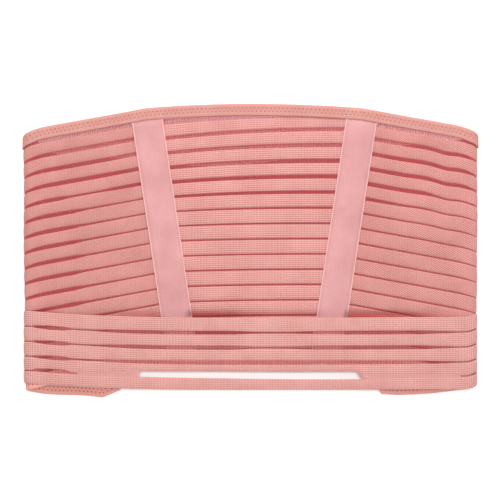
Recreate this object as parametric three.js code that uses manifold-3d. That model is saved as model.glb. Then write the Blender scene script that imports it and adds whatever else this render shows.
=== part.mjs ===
// A maternity belt of ribbed elastic, closed into a loop and lying flat, back panel upwards.
// Soft ribs alternate with open ladder mesh. Two stay tapes cover the back seams, a hem binds each
// edge of the loop, and a five-rib strap runs round the outside of its lower third.
// Millimetres, +Z up, +Y towards the belt's top edge, X across the back.
import * as THREE from 'three';
import { mergeVertices } from 'three/addons/utils/BufferGeometryUtils.js';
import Module from 'manifold-3d';

// Cloth of the panels and the strap
const flatWidth = 393.8;      // across the hems, from one folded side to the other
const clothThickness = 1.4;
const ribPitch = 12.85;       // from one rib to the next
const meshGap = 2.2;          // open mesh between two ribs
const panelRibs = 15;         // whole ribs between the two hems
const firstGap = 11.7;        // from an outer edge to the middle of the nearest gap
const pieceGap = 0.3;         // clearance between two pieces sewn together
const cutMargin = 0.1;        // taken off a wing's tapered edge, clear of its hem

// Hems round the two edges
const hemHeight = 10.3;
const hemWall = 1.0;

// Stays on the back
const stayWidth = 25.2;
const stayThickness = 2.0;
const stayEdge = 1.2;         // thickness at the tape's selvedges
const staySpreadTop = 187.4;  // between the stays' middles at the top edge
const staySpreadBottom = 122.2;
const stayOffset = 3.3;       // the back lies this far to the right of the folded loop
const seamMargin = 9;         // solid cloth beside a seam, under the tape

// How the loop lies
const hollowMiddle = 9.4;     // free height inside, under the back
const hollowSides = 13.0;     // free height inside, beside the folds
const flatShare = 0.61;       // share of the half width over which the back lies level
const strapSqueeze = 3.0;     // how far the strap draws each fold in
const squeezeLength = 12;     // over this length above the strap
const squeezeLead = 5;        // that ends this far above the strap's top edge mid-back
const drapeLength = 30;       // over this length the lower layer comes down off the strap
const drapeLead = 6;          // that starts this far above the strap's top edge

// How the ribs run
const sideSlope = 0.185;      // fall of the ribs beyond the stays, per length
const cornerDrop = 4.5;       // further fall of the top edge at a fold
const cornerReach = 24;       // length of that further fall
const farDrop = 16.3;         // fall of the ribs from a fold to the closure
const backArch = 3.8;         // the top edge stands this much higher mid-back than at the stays
const backArchLow = 0.8;      // and so do the lower ribs
const archShare = 0.55;       // share of the height over which the one turns into the other
const ribSpread = 4.2;        // the ribs above the strap are drawn down this much, at its level
const backSag = 8.5;          // the back's lower edge hangs this much lower mid-back
const sagReach = 140;         // as far as this from mid-back
const leanTop = 0.062;        // rise of the back's upper ribs to the right, per length
const leanLow = 0.015;        // and of its lower ribs
const leanShare = 0.5;        // share of the height over which the one turns into the other
const leanStart = 23;         // that rise starts over this length below the top edge
const leanPivot = 19;         // and turns about a line this far to the left of mid-back

// Lower edge of the front, which is cut away under the belly
const frontRise = 47;
// across: share of the half width from the middle; left, right: share of frontRise
const frontTaper = [
  { across: 1.0, left: 0, right: 0 },
  { across: 0.86, left: 0, right: 0.02 },
  { across: 0.69, left: 0, right: 0.06 },
  { across: 0.61, left: 0.17, right: 0.1 },
  { across: 0.51, left: 0.42, right: 0.42 },
  { across: 0.4, left: 0.9, right: 0.88 },
  { across: 0.32, left: 1, right: 1 },
  { across: 0, left: 1, right: 1 },
];

// Closure, a plain strip under the meeting wings
const closureWidth = 60;
const closureThickness = 1.0;
const wingGap = 1.2;          // between the two wings' ends
const wingMargin = 34;        // solid cloth at a wing's end

// Strap round the outside
const strapRibs = 5;
const strapDown = 184.1;      // from the back's top edge down to the strap's, mid-back
const strapRiseLeft = 5.6;    // how much higher the strap's top edge is at a fold
const strapRiseRight = 3.2;
const strapRisePower = 3;
const strapEndAcross = 0.63;  // where its ends are sewn on, as a share of the half width
const strapEndMargin = 12;    // solid cloth at a sewn end
const wingClimb = 0.12;       // share of the half width over which a wing climbs onto that end
const wingClimbLead = 0.05;   // between that climb and the end
const slotHeight = 6.0;       // its lowest gap stands open mid-back
const slotHalfLength = 93;
const slotEndLength = 4;

// Facets
const foldSteps = 8;          // round a fold
const centreSteps = 6;        // across the back panel
const riseSteps = 4;          // from where the back stops lying level to a fold
const tapeSteps = 6;          // down a stay tape
const closureSteps = 4;       // down the closure strip

// Sizes that follow
const panelHeight = 2 * firstGap + panelRibs * ribPitch;
const edgeInset = hemWall + pieceGap;            // cloth's edge inside a hem
const skin = clothThickness / 2;
const hemOut = skin + pieceGap + hemWall;        // a hem's outer face from the cloth's middle
const strapClear = hemOut + pieceGap + skin;     // the strap's middle, passing over a hem
const strapOverStays = 2 * skin + 2 * pieceGap + stayThickness;
const lowRest = hemOut;                          // cloth's middle where the hem rests
const strapRest = skin + strapClear;             // cloth's middle where the strap is beneath
const nearMiddle = lowRest + hollowMiddle + clothThickness;
const nearSides = lowRest + hollowSides + clothThickness;
const foldRadius = (nearSides - lowRest) / 2;
const foldHalf = flatWidth / 2 - hemOut - foldRadius;
const foldGirth = Math.PI * foldRadius;

const clamp = (value, low = 0, high = 1) => Math.min(high, Math.max(low, value));
const smooth = (t) => clamp(t) ** 2 * (3 - 2 * clamp(t));
const mix = (a, b, t) => a + (b - a) * t;

// The top edge lies at y = 0 mid-back, and all the rest below it.
const strapTopY = -strapDown;

// The loop coordinate c runs from 0 at mid-back: 0 to 1 across the back, 1 to 2 round a fold and
// 2 to 3 along the front to its middle, to the right where c is positive and to the left elsewhere.
const midFront = 3;

function girthAt(c) {
  const q = Math.abs(c);
  if (q <= 1) return q * foldHalf;
  if (q <= 2) return foldHalf + (q - 1) * foldGirth;
  return foldHalf + foldGirth + (q - 2) * foldHalf;
}

// 1 at the strap's level and 0 well above it, over a length that ends a lead above its top edge
const strapLevel = (y, lead, length) => smooth((strapTopY + lead + length - y) / length);

// Middle of the cloth, moved out by a distance, at loop coordinate c and height y.
function clothPoint(c, y, out) {
  const side = Math.sign(c) || 1;
  const q = Math.abs(c);
  const level = strapLevel(y, drapeLead, drapeLength);
  const half = foldHalf - strapSqueeze * strapLevel(y, squeezeLead, squeezeLength);
  if (q <= 1) {
    const height = mix(nearMiddle, nearSides, smooth((q - flatShare) / (1 - flatShare)));
    return new THREE.Vector3(side * half * q, y, height + out);
  }
  const across = q < 2 ? 1 : midFront - q;
  const climbed = (across - strapEndAcross + wingClimbLead + wingClimb) / wingClimb;
  const overStrap = level * smooth(climbed);
  const lower = mix(lowRest, strapRest, overStrap);
  if (q >= 2) return new THREE.Vector3(side * half * across, y, lower - out);
  const radius = (nearSides - lower) / 2;
  const angle = (q - 1) * Math.PI;
  return new THREE.Vector3(
    side * (half + (radius + out) * Math.sin(angle)),
    y,
    nearSides - radius + (radius + out) * Math.cos(angle),
  );
}

// Girth of a stay's middle line from mid-back, at v below the top edge.
function stayGirth(side, v) {
  return mix(staySpreadTop, staySpreadBottom, v / panelHeight) / 2 + side * stayOffset;
}

// Loop coordinate of a line beside a stay, at v below the top edge.
function besideStay(side, v, past) {
  return (side * (stayGirth(side, v) + past)) / foldHalf;
}

// Height of the rib line that lies v below the top edge, followed round the loop.
function ribHeight(c, v) {
  const side = Math.sign(c) || 1;
  const q = Math.abs(c);
  const girth = girthAt(c);
  const seam = stayGirth(side, v);
  const down = v / panelHeight;
  const past = clamp(girth, seam, foldHalf + foldGirth) - seam;
  const corner = clamp((girth - foldHalf - foldGirth / 2) / cornerReach + 1) ** 2;
  const front = 1 - (1 - clamp(q - 2)) ** 2;
  const arch = mix(backArch, backArchLow, clamp(down / archShare));
  return -v - arch * clamp(girth / seam) ** 2 - sideSlope * past
    - cornerDrop * (1 - down) * corner - farDrop * front - settling(girth, v);
}

// 0 down to the strap's top edge, then rising to 1 at the lowest gap, behind the strap
const behindStrap = (v) => clamp((v - strapDown) / (panelHeight - firstGap - strapDown));

// How far the rib line v below the top edge has settled below an even spacing. It grows down to the
// strap's top edge. Behind the strap it is lost again, but for the sag of the back's lower edge.
function settling(girth, v) {
  const behind = behindStrap(v);
  const sag = backSag * Math.max(0, 1 - (girth / sagReach) ** 2);
  return ribSpread * Math.min(1, v / strapDown) * (1 - behind) + sag * smooth(behind);
}

// How far a rib of the back, between its stays, stands above that line. It rises to the right, and
// meets the line at the seams and at the lower edge.
function backLean(c, v) {
  const seam = stayGirth(Math.sign(c) || 1, v);
  const slope = mix(leanTop, leanLow, clamp(v / panelHeight / leanShare)) * smooth(v / leanStart);
  const inside = clamp((seam - girthAt(c)) / seamMargin);
  return slope * (c * foldHalf + leanPivot) * inside * (1 - behindStrap(v));
}

// How far the front's lower edge is cut away above its rib line.
function taperRise(c) {
  const q = Math.abs(c);
  if (q <= 2) return 0;
  const column = c < 0 ? 'left' : 'right';
  const across = midFront - q;
  const next = frontTaper.findIndex((row) => row.across <= across);
  if (next <= 0) return frontRise * frontTaper[Math.max(next, 0)][column];
  const [outer, inner] = [frontTaper[next - 1], frontTaper[next]];
  const t = (outer.across - across) / (outer.across - inner.across);
  return frontRise * mix(outer[column], inner[column], t);
}

const lowerEdge = (c) => ribHeight(c, panelHeight) + taperRise(c);

// A closed sheet on a grid of columns and rows, with two faces. pointAt gives a grid point on the
// face 0 or 1, and isOpen says which cells are cut through.
function sheet(columns, rows, pointAt, isOpen = () => false) {
  const positions = [];
  for (let i = 0; i < columns; i++) {
    for (let j = 0; j < rows; j++) {
      positions.push(...pointAt(i, j, 0).toArray(), ...pointAt(i, j, 1).toArray());
    }
  }
  const at = (i, j, face) => 2 * (i * rows + j) + face;
  const solid = (i, j) =>
    i >= 0 && j >= 0 && i < columns - 1 && j < rows - 1 && !isOpen(i, j);
  const triangles = [];
  const quad = (a, b, c, d) => triangles.push(a, b, c, a, c, d);
  for (let i = 0; i < columns - 1; i++) {
    for (let j = 0; j < rows - 1; j++) {
      if (!solid(i, j)) continue;
      const corners = [[i, j], [i, j + 1], [i + 1, j + 1], [i + 1, j]];
      const neighbours = [[i - 1, j], [i, j + 1], [i + 1, j], [i, j - 1]];
      quad(...corners.map(([x, y]) => at(x, y, 0)));
      quad(...corners.map(([x, y]) => at(x, y, 1)).reverse());
      neighbours.forEach(([x, y], k) => {
        if (solid(x, y)) return;
        const [from, to] = [corners[k], corners[(k + 1) % 4]];
        quad(at(...to, 0), at(...from, 0), at(...from, 1), at(...to, 1));
      });
    }
  }
  const geometry = new THREE.BufferGeometry();
  geometry.setAttribute('position', new THREE.Float32BufferAttribute(positions, 3));
  geometry.setIndex(triangles);
  return turnedOut(geometry);
}

// The same geometry with its faces pointing out and no unused points.
function turnedOut(geometry) {
  const index = geometry.getIndex();
  const position = geometry.getAttribute('position');
  const [a, b, c] = [0, 1, 2].map(() => new THREE.Vector3());
  let volume = 0;
  for (let k = 0; k < index.count; k += 3) {
    a.fromBufferAttribute(position, index.getX(k));
    b.fromBufferAttribute(position, index.getX(k + 1));
    c.fromBufferAttribute(position, index.getX(k + 2));
    volume += a.dot(b.cross(c));
  }
  const order = Array.from(index.array);
  if (volume < 0) order.reverse();
  geometry.setIndex(order);
  return mergeVertices(geometry.toNonIndexed());
}

const wasm = await Module();
wasm.setup();

// A closed geometry as a solid that can be cut.
function toSolid(geometry) {
  const bare = geometry.clone();
  bare.deleteAttribute('normal');
  bare.deleteAttribute('uv');
  const merged = mergeVertices(bare);
  return new wasm.Manifold(new wasm.Mesh({
    numProp: 3,
    vertProperties: merged.getAttribute('position').array,
    triVerts: new Uint32Array(merged.getIndex().array),
  }));
}

function toGeometry(solid) {
  const mesh = solid.getMesh();
  const geometry = new THREE.BufferGeometry();
  geometry.setAttribute('position', new THREE.BufferAttribute(mesh.vertProperties, 3));
  geometry.setIndex(new THREE.BufferAttribute(mesh.triVerts, 1));
  return geometry;
}

// Rib lines of a panel, measured down from the top edge. A gap follows each odd one.
const gapMiddles = Array.from({ length: panelRibs + 1 }, (_, k) => firstGap + k * ribPitch);
const panelRows = [
  edgeInset,
  ...gapMiddles.flatMap((v) => [v - meshGap / 2, v + meshGap / 2]),
  panelHeight - edgeInset,
];
const isGapRow = (j) => j % 2 === 1;

// Loop coordinates of a side panel's columns beyond its seam, and of the hems there
const risingColumns = Array.from(
  { length: riseSteps + 1 },
  (_, k) => mix(flatShare, 1, k / riseSteps),
);
const foldColumns = Array.from({ length: foldSteps }, (_, k) => 1 + (k + 1) / foldSteps);
const wingEnd = midFront - wingGap / 2 / foldHalf;
const frontColumns = [
  ...frontTaper.slice(1, -1).map((row) => midFront - row.across),
  midFront - wingMargin / foldHalf,
  wingEnd,
];
const sideColumns = [...risingColumns, ...foldColumns, ...frontColumns];

// Loop coordinates of the back's columns, clear of its seams, at v below the top edge
function backColumns(v) {
  const [left, right] = [-1, 1].map((side) => besideStay(side, v, -seamMargin));
  return Array.from({ length: centreSteps + 1 }, (_, k) => mix(left, right, k / centreSteps));
}

// The back between the two stays
function backPanel() {
  const columns = centreSteps + 3;
  const columnAt = (i, v) => {
    if (i === 0) return besideStay(-1, v, -pieceGap / 2);
    if (i === columns - 1) return besideStay(1, v, -pieceGap / 2);
    return backColumns(v)[i - 1];
  };
  const pointAt = (i, j, face) => {
    const v = panelRows[j];
    const c = columnAt(i, v);
    return clothPoint(c, ribHeight(c, v) + backLean(c, v), face ? -skin : skin);
  };
  const isOpen = (i, j) => isGapRow(j) && i > 0 && i < columns - 2;
  return sheet(columns, panelRows.length, pointAt, isOpen);
}

// One side of the belt: from its stay round the fold to the closure
function sidePanel(side) {
  const columns = sideColumns.length + 2;
  const columnAt = (i, v) => {
    if (i < 2) return besideStay(side, v, pieceGap / 2 + i * seamMargin);
    return side * sideColumns[i - 2];
  };
  const pointAt = (i, j, face) => {
    const v = panelRows[j];
    const c = columnAt(i, v);
    return clothPoint(c, ribHeight(c, v), face ? -skin : skin);
  };
  const clearOfTaper = (i, j) => {
    const c = columnAt(i, panelRows[j]);
    return ribHeight(c, panelRows[j + 1]) > lowerEdge(c) + hemHeight || taperRise(c) === 0;
  };
  const isOpen = (i, j) =>
    isGapRow(j) && i > 0 && i < columns - 2 && clearOfTaper(i, j) && clearOfTaper(i + 1, j);
  const whole = toSolid(sheet(columns, panelRows.length, pointAt, isOpen));
  return toGeometry(whole.subtract(toSolid(taperCutter(side))));
}

// What is cut off a front wing below its tapered edge
function taperCutter(side) {
  const outline = frontTaper.map((row) => {
    const c = side * (midFront - row.across);
    const point = clothPoint(c, lowerEdge(c) + edgeInset + cutMargin, 0);
    return new THREE.Vector2(point.x, point.y);
  });
  const below = outline[0].y - frontRise;
  const pastMiddle = -side * closureWidth;
  const shape = new THREE.Shape([
    ...outline,
    new THREE.Vector2(pastMiddle, outline.at(-1).y),
    new THREE.Vector2(pastMiddle, below),
    new THREE.Vector2(outline[0].x, below),
  ]);
  const depth = nearMiddle - 2 * skin;
  const geometry = new THREE.ExtrudeGeometry(shape, { depth, bevelEnabled: false });
  return geometry.translate(0, 0, -clothThickness);
}

// A U of folded cloth along one edge of the loop. edgeAt gives that edge's height and inward the
// direction into the cloth, 1 for up and -1 for down.
function hem(columnList, edgeAt, inward) {
  const slant = (i) => {
    const before = columnList[Math.max(i - 1, 0)];
    const after = columnList[Math.min(i + 1, columnList.length - 1)];
    const run = girthAt(after) * Math.sign(after) - girthAt(before) * Math.sign(before);
    return Math.hypot(1, (edgeAt(after) - edgeAt(before)) / run);
  };
  // The U from one lip to the other: out from the cloth's middle and in from the edge, per face
  const inside = hemOut - hemWall;
  const profile = [
    { out: [hemOut, inside], depth: [hemHeight, hemHeight] },
    { out: [hemOut, inside], depth: [0, hemWall] },
    { out: [-hemOut, -inside], depth: [0, hemWall] },
    { out: [-hemOut, -inside], depth: [hemHeight, hemHeight] },
  ];
  const pointAt = (i, j, face) => {
    const c = columnList[i];
    const y = edgeAt(c) + inward * profile[j].depth[face] * slant(i);
    return clothPoint(c, y, profile[j].out[face]);
  };
  return sheet(columnList.length, profile.length, pointAt);
}

// Columns of a hem round the whole loop: the panels' own, with one where the edge bends at a stay
function hemColumns(v) {
  const seams = (side) => [0, seamMargin].map((past) => besideStay(side, v, past));
  return [
    ...sideColumns.map((q) => -q).reverse(),
    ...seams(-1).reverse(),
    ...backColumns(v),
    ...seams(1),
    ...sideColumns,
  ];
}

// A padded tape over the seam of one stay, thicker along its middle
function stayTape(side) {
  const across = [-0.5, -0.3, 0.3, 0.5];       // shares of the tape's width
  const start = hemHeight + 3 * pieceGap;
  const under = skin + pieceGap;
  const pointAt = (i, j, face) => {
    const v = mix(start, panelHeight - start, i / tapeSteps);
    const c = besideStay(side, v, across[j] * stayWidth);
    const crown = j === 1 || j === 2 ? stayThickness : stayEdge;
    return clothPoint(c, ribHeight(c, v), face ? under : under + crown);
  };
  return sheet(tapeSteps + 1, across.length, pointAt);
}

// Height of the strap's top edge
function strapTop(c) {
  const rise = c < 0 ? strapRiseLeft : strapRiseRight;
  return strapTopY + rise * Math.min(1, Math.abs(c)) ** strapRisePower;
}

// The strap outside the belt, from one wing round the back to the other
function lowerStrap() {
  const end = midFront - strapEndAcross;
  const endMargin = end - strapEndMargin / foldHalf;
  const slotStops = [slotHalfLength, slotHalfLength + slotEndLength].map((x) => x / foldHalf);
  const half = [0, ...slotStops, ...risingColumns, ...foldColumns, endMargin, end];
  const columnList = [...half.slice(1).map((q) => -q).reverse(), ...half];
  const rows = Array.from({ length: strapRibs }, (_, k) => [
    k * ribPitch, (k + 1) * ribPitch - meshGap,
  ]).flat();
  const slotRow = rows.length - 3;
  const pointAt = (i, j, face) => {
    const c = columnList[i];
    const inSlot = j === slotRow && Math.abs(c) <= slotStops[0];
    const down = rows[j] - (inSlot ? slotHeight - meshGap : 0);
    const clear = mix(strapOverStays, strapClear, smooth((Math.abs(c) - flatShare) / (1 - flatShare)));
    return clothPoint(c, strapTop(c) - down, face ? clear - skin : clear + skin);
  };
  const isOpen = (i, j) => isGapRow(j) && i > 0 && i < columnList.length - 2;
  return sheet(columnList.length, rows.length, pointAt, isOpen);
}

// The strip that holds the two wings together at mid-front
function closureStrip() {
  const inset = hemHeight + 2 * pieceGap;
  const top = Math.min(ribHeight(midFront, 0), ribHeight(-midFront, 0)) - inset;
  const bottom = Math.max(lowerEdge(midFront), lowerEdge(-midFront)) + inset;
  const halfShare = closureWidth / 2 / foldHalf;
  const pointAt = (i, j, face) => {
    const c = j ? midFront - halfShare : halfShare - midFront;
    const out = skin + pieceGap + (face ? 0 : closureThickness);
    return clothPoint(c, mix(top, bottom, i / closureSteps), out);
  };
  return sheet(closureSteps + 1, 2, pointAt);
}

const ribbedElastic = new THREE.MeshStandardMaterial({ color: 0xe0a097, roughness: 0.85 });
const hemElastic = new THREE.MeshStandardMaterial({ color: 0xe6a69d, roughness: 0.85 });
const stayTwill = new THREE.MeshStandardMaterial({ color: 0xe9aaa9, roughness: 0.6 });
const hookAndLoop = new THREE.MeshStandardMaterial({ color: 0xd9958c, roughness: 0.95 });

function piece(name, geometry, material) {
  geometry.computeVertexNormals();
  const mesh = new THREE.Mesh(geometry, material);
  mesh.name = name;
  return mesh;
}

const belt = new THREE.Group();
belt.add(
  piece('back_panel', backPanel(), ribbedElastic),
  piece('left_side_panel', sidePanel(-1), ribbedElastic),
  piece('right_side_panel', sidePanel(1), ribbedElastic),
  piece('top_hem', hem(hemColumns(0), (c) => ribHeight(c, 0), -1), hemElastic),
  piece('bottom_hem', hem(hemColumns(panelHeight), lowerEdge, 1), hemElastic),
  piece('left_stay_tape', stayTape(-1), stayTwill),
  piece('right_stay_tape', stayTape(1), stayTwill),
  piece('lower_strap', lowerStrap(), ribbedElastic),
  piece('closure_strip', closureStrip(), hookAndLoop),
);

// The origin is the middle of the belt's footprint, on the surface that it lies on.
const bounds = new THREE.Box3().setFromObject(belt);
const middle = bounds.getCenter(new THREE.Vector3());
belt.position.set(-middle.x, -middle.y, -bounds.min.z);

export default belt;
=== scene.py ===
"""A maternity belt of ribbed elastic, closed into a loop and lying flat with its back panel upwards.

Soft ribs alternate with open ladder mesh. Two stay tapes cover the back seams, a folded binding
closes each edge of the loop, and a five-rib strap runs round the outside of its lower third.

Sizes are in millimetres until a mesh is made, which is in metres. A place on the belt is given by
the loop coordinate c and the drop v. c runs from 0 at mid-back: 0 to 1 across the back, 1 to 2
round a fold and 2 to 3 along the front to its middle, positive to the right and negative to the
left. v runs down the cloth from its top edge.
"""

from __future__ import annotations

import logging
import math
from collections.abc import Callable, Sequence
from dataclasses import dataclass, field, replace
from enum import Enum

import bpy
import numpy as np
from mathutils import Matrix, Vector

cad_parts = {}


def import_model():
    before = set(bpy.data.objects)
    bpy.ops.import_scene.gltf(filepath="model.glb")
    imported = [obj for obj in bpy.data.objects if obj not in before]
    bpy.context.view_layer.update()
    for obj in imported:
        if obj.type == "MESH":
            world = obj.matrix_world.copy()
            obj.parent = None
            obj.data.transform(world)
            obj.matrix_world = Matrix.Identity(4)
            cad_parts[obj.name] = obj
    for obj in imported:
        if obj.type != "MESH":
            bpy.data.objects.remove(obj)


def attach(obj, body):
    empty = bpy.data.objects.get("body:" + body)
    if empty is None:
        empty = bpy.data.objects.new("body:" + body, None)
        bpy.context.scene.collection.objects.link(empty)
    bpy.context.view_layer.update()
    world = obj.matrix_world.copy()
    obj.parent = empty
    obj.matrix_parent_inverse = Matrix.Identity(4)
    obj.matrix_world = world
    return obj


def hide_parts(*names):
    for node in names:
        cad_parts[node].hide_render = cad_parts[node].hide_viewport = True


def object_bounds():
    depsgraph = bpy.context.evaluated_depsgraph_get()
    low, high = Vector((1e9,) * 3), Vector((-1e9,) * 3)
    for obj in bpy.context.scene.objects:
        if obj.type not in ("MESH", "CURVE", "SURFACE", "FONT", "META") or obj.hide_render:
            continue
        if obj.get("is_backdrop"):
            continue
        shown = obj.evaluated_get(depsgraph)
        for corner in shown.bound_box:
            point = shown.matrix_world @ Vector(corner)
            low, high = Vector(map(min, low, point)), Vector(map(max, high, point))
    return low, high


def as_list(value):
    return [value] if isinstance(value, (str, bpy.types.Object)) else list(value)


LOG = logging.getLogger("belt")
MM = 0.001
UV_NAME = "cloth_mm"
INNER_SHADE_NAME = "inner_and_crevice_shade"


class Side(Enum):
    """The two sides of the belt, as signs of the loop coordinate."""

    LEFT = -1
    RIGHT = 1


class Slot(Enum):
    """The record's material slots."""

    RIBBED = "ribbed_elastic"
    BINDING = "edge_binding"
    TAPE = "stay_tape"
    CLOSURE = "closure_cloth"


def clamp(value: np.ndarray | float, low: float = 0.0, high: float = 1.0) -> np.ndarray:
    """Returns the value held between low and high."""
    return np.clip(value, low, high)


def smooth(t: np.ndarray | float) -> np.ndarray:
    """Returns a smooth step, 3t^2 - 2t^3, of t held between 0 and 1."""
    t = clamp(t)
    return t * t * (3 - 2 * t)


def mix(a: np.ndarray | float, b: np.ndarray | float, t: np.ndarray | float) -> np.ndarray:
    """Returns the value a share t of the way from a to b."""
    return a + (b - a) * t


def bell(x: np.ndarray | float, middle: float, width: float) -> np.ndarray:
    """Returns a bell curve, exp(-((x - middle) / width)^2)."""
    return np.exp(-(((np.asarray(x) - middle) / width) ** 2))


def eased(x: np.ndarray, stops: Sequence[float], values: Sequence[float]) -> np.ndarray:
    """Interpolates a table with a smooth step between each two of its stops.

    Args:
        x: Where to read the table.
        stops: The places of its values, rising.
        values: Its values.

    Returns:
        The values at x, level before the first stop and past the last.
    """
    stops, values = np.asarray(stops, float), np.asarray(values, float)
    x = clamp(x, stops[0], stops[-1])
    i = clamp(np.searchsorted(stops, x, side="right") - 1, 0, len(stops) - 2).astype(int)
    return mix(values[i], values[i + 1], smooth((x - stops[i]) / (stops[i + 1] - stops[i])))


def hang_in_scene(name: str, data: bpy.types.ID) -> bpy.types.Object:
    """Adds an object with this data to the scene."""
    item = bpy.data.objects.new(name, data)
    bpy.context.scene.collection.objects.link(item)
    return item


def dress(pieces: list[bpy.types.Object], slot: Slot, node: str) -> None:
    """Fixes pieces to the belt's one body and hides the node that they replace."""
    for piece in pieces:
        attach(piece, "root")
    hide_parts(node)


@dataclass(frozen=True)
class LoopForm:
    """How the closed belt lies on the surface, and how its ribs run.

    The sizes in this class are the belt's own and are shared by all its pieces.
    """

    flat_width: float = 393.8
    rib_pitch: float = 12.85
    panel_ribs: int = 15
    first_gap: float = 11.7
    skin: float = 0.7  # half of the cloth's thickness with its clearance
    hem_height: float = 10.3
    hem_out: float = 2.0  # a hem's outer face from the middle of the cloth
    stay_width: float = 25.2
    stay_spread_top: float = 187.4
    stay_spread_bottom: float = 122.2
    stay_offset: float = 3.3
    hollow_middle: float = 9.4
    hollow_sides: float = 13.0
    flat_share: float = 0.61
    strap_squeeze: float = 2.2
    squeeze_length: float = 4.0
    squeeze_lead: float = -4.0
    drape_length: float = 30.0
    drape_lead: float = 6.0
    side_slope: float = 0.185
    corner_drop: float = 4.5
    corner_reach: float = 24.0
    far_drop: float = 16.3
    back_arch: float = 3.8
    back_arch_low: float = 0.8
    arch_share: float = 0.55
    rib_spread: float = 4.2  # the ribs above the strap are drawn down this much, at its level
    back_sag: float = 8.5  # the back's lower edge hangs this much lower mid-back
    sag_reach: float = 140.0
    lean_top: float = 0.062  # rise of the back's upper ribs to the right, per length
    lean_low: float = 0.015
    lean_share: float = 0.5
    lean_start: float = 23.0
    lean_pivot: float = 19.0
    seam_margin: float = 9.0
    slip_share: float = 0.8  # of the panel's height, down to which the front's ribs have slipped
    slip_across: tuple[float, ...] = (0.0, 0.27, 0.46, 0.6, 0.72, 0.9, 1.0)
    slip_left: tuple[float, ...] = (5.0, 7.5, 6.0, 5.5, 7.0, 9.0, 0.0)
    slip_right: tuple[float, ...] = (5.0, 0.0, -3.0, -3.0, -2.0, 0.0, 0.0)
    hang_left: float = 4.3
    hang_left_end: float = 2.27
    hang_right: float = 2.6
    hang_right_end: float = 2.6
    hang_start: float = 0.8  # loop coordinate from which the lower corners hang
    hang_fade_left: float = 0.27  # over which they end along the front
    hang_fade_right: float = 0.45
    hang_share: float = 0.8  # of the panel's height, below which they hang
    front_rise: float = 47.0
    wing_gap: float = 1.2
    strap_down: float = 184.1
    strap_end_across: float = 0.63
    wing_climb: float = 0.12
    wing_climb_lead: float = 0.05
    top_y: float = 126.85  # the top edge at mid-back, in the frame of the whole belt

    # The buckle beside the right fold: depth, place and reach along the loop, and drops
    buckle: tuple[float, float, float] = (1.1, 0.9, 0.045)
    buckle_rise: tuple[float, float, float] = (0.7, 0.79, 0.06)
    buckle_start: float = 6.0
    buckle_full: float = 20.0
    buckle_fade: float = 60.0
    buckle_end: float = 120.0

    # Cloth drawn in above the strap: loop coordinates and depths, less where a tape stiffens it
    dent_reach: float = 7.5
    dent_back: float = 14.0
    dent_foot: float = 4.0
    dent_stops: tuple[float, ...] = (
        -1.0, -0.955, -0.9, -0.86, -0.72, -0.55, -0.44, -0.4, -0.31, -0.27, -0.12,
        0.0, 0.12, 0.25, 0.3, 0.34, 0.42, 0.45, 0.62, 0.8, 0.9, 1.0,
    )
    dent_depths: tuple[float, ...] = (
        0.4, 4.0, 3.0, 0.4, 0.8, 2.6, 3.4, 1.0, 1.0, 6.0, 5.6,
        3.0, 2.0, 2.4, 2.6, 1.0, 1.0, 6.0, 5.6, 3.4, 1.2, 0.0,
    )

    # Lower edge of the front: share of the half width from the middle, and shares of front_rise
    taper_across: tuple[float, ...] = (0.0, 0.32, 0.4, 0.51, 0.61, 0.69, 0.86, 1.0)
    taper_left: tuple[float, ...] = (1.0, 1.0, 1.0, 0.7, 0.17, 0.0, 0.0, 0.0)
    taper_right: tuple[float, ...] = (1.0, 1.0, 1.0, 0.7, 0.1, 0.06, 0.02, 0.0)

    @property
    def panel_height(self) -> float:
        """Height of the panels with their hems."""
        return 2 * self.first_gap + self.panel_ribs * self.rib_pitch

    @property
    def low_rest(self) -> float:
        """Height of the front's cloth where its hems rest on the surface."""
        return self.hem_out

    @property
    def strap_rest(self) -> float:
        """Height of the front's cloth where the strap is beneath it."""
        return 2 * self.skin + self.hem_out + 0.3

    @property
    def near_middle(self) -> float:
        """Height of the back's cloth at its middle."""
        return self.low_rest + self.hollow_middle + 2 * self.skin

    @property
    def near_sides(self) -> float:
        """Height of the back's cloth beside the folds."""
        return self.low_rest + self.hollow_sides + 2 * self.skin

    @property
    def fold_radius(self) -> float:
        """Radius of the cloth's middle round a fold."""
        return (self.near_sides - self.low_rest) / 2

    @property
    def fold_half(self) -> float:
        """Half the width between the two folds."""
        return self.flat_width / 2 - self.hem_out - self.fold_radius

    @property
    def fold_girth(self) -> float:
        """Length of cloth round one fold."""
        return math.pi * self.fold_radius

    @property
    def wing_end(self) -> float:
        """Loop coordinate at which a wing ends."""
        return 3 - self.wing_gap / 2 / self.fold_half

    @property
    def gap_middles(self) -> np.ndarray:
        """Drop of each gap's middle."""
        return self.first_gap + self.rib_pitch * np.arange(self.panel_ribs + 1)

    def girth(self, c: np.ndarray) -> np.ndarray:
        """Returns the length of cloth from mid-back to loop coordinate c, with c's sign."""
        q = np.abs(c)
        run = np.interp(q, [0, 1, 2, 3], np.cumsum([0, self.fold_half, self.fold_girth, self.fold_half]))
        return np.sign(c) * run

    def loop_at(self, girth: np.ndarray) -> np.ndarray:
        """Returns the loop coordinate at a signed length of cloth from mid-back."""
        stops = np.cumsum([0, self.fold_half, self.fold_girth, self.fold_half])
        return np.sign(girth) * np.interp(np.abs(girth), stops, [0, 1, 2, 3])

    def stay_girth(self, side: Side | np.ndarray, v: np.ndarray | float) -> np.ndarray:
        """Returns the length of cloth from mid-back to a stay's middle line, at drop v.

        Args:
            side: The stay's side, or its sign at each point.
            v: Drop below the top edge.

        Returns:
            The length, positive on both sides.
        """
        sign = side.value if isinstance(side, Side) else side
        spread = mix(self.stay_spread_top, self.stay_spread_bottom, v / self.panel_height)
        return spread / 2 + sign * self.stay_offset

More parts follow.
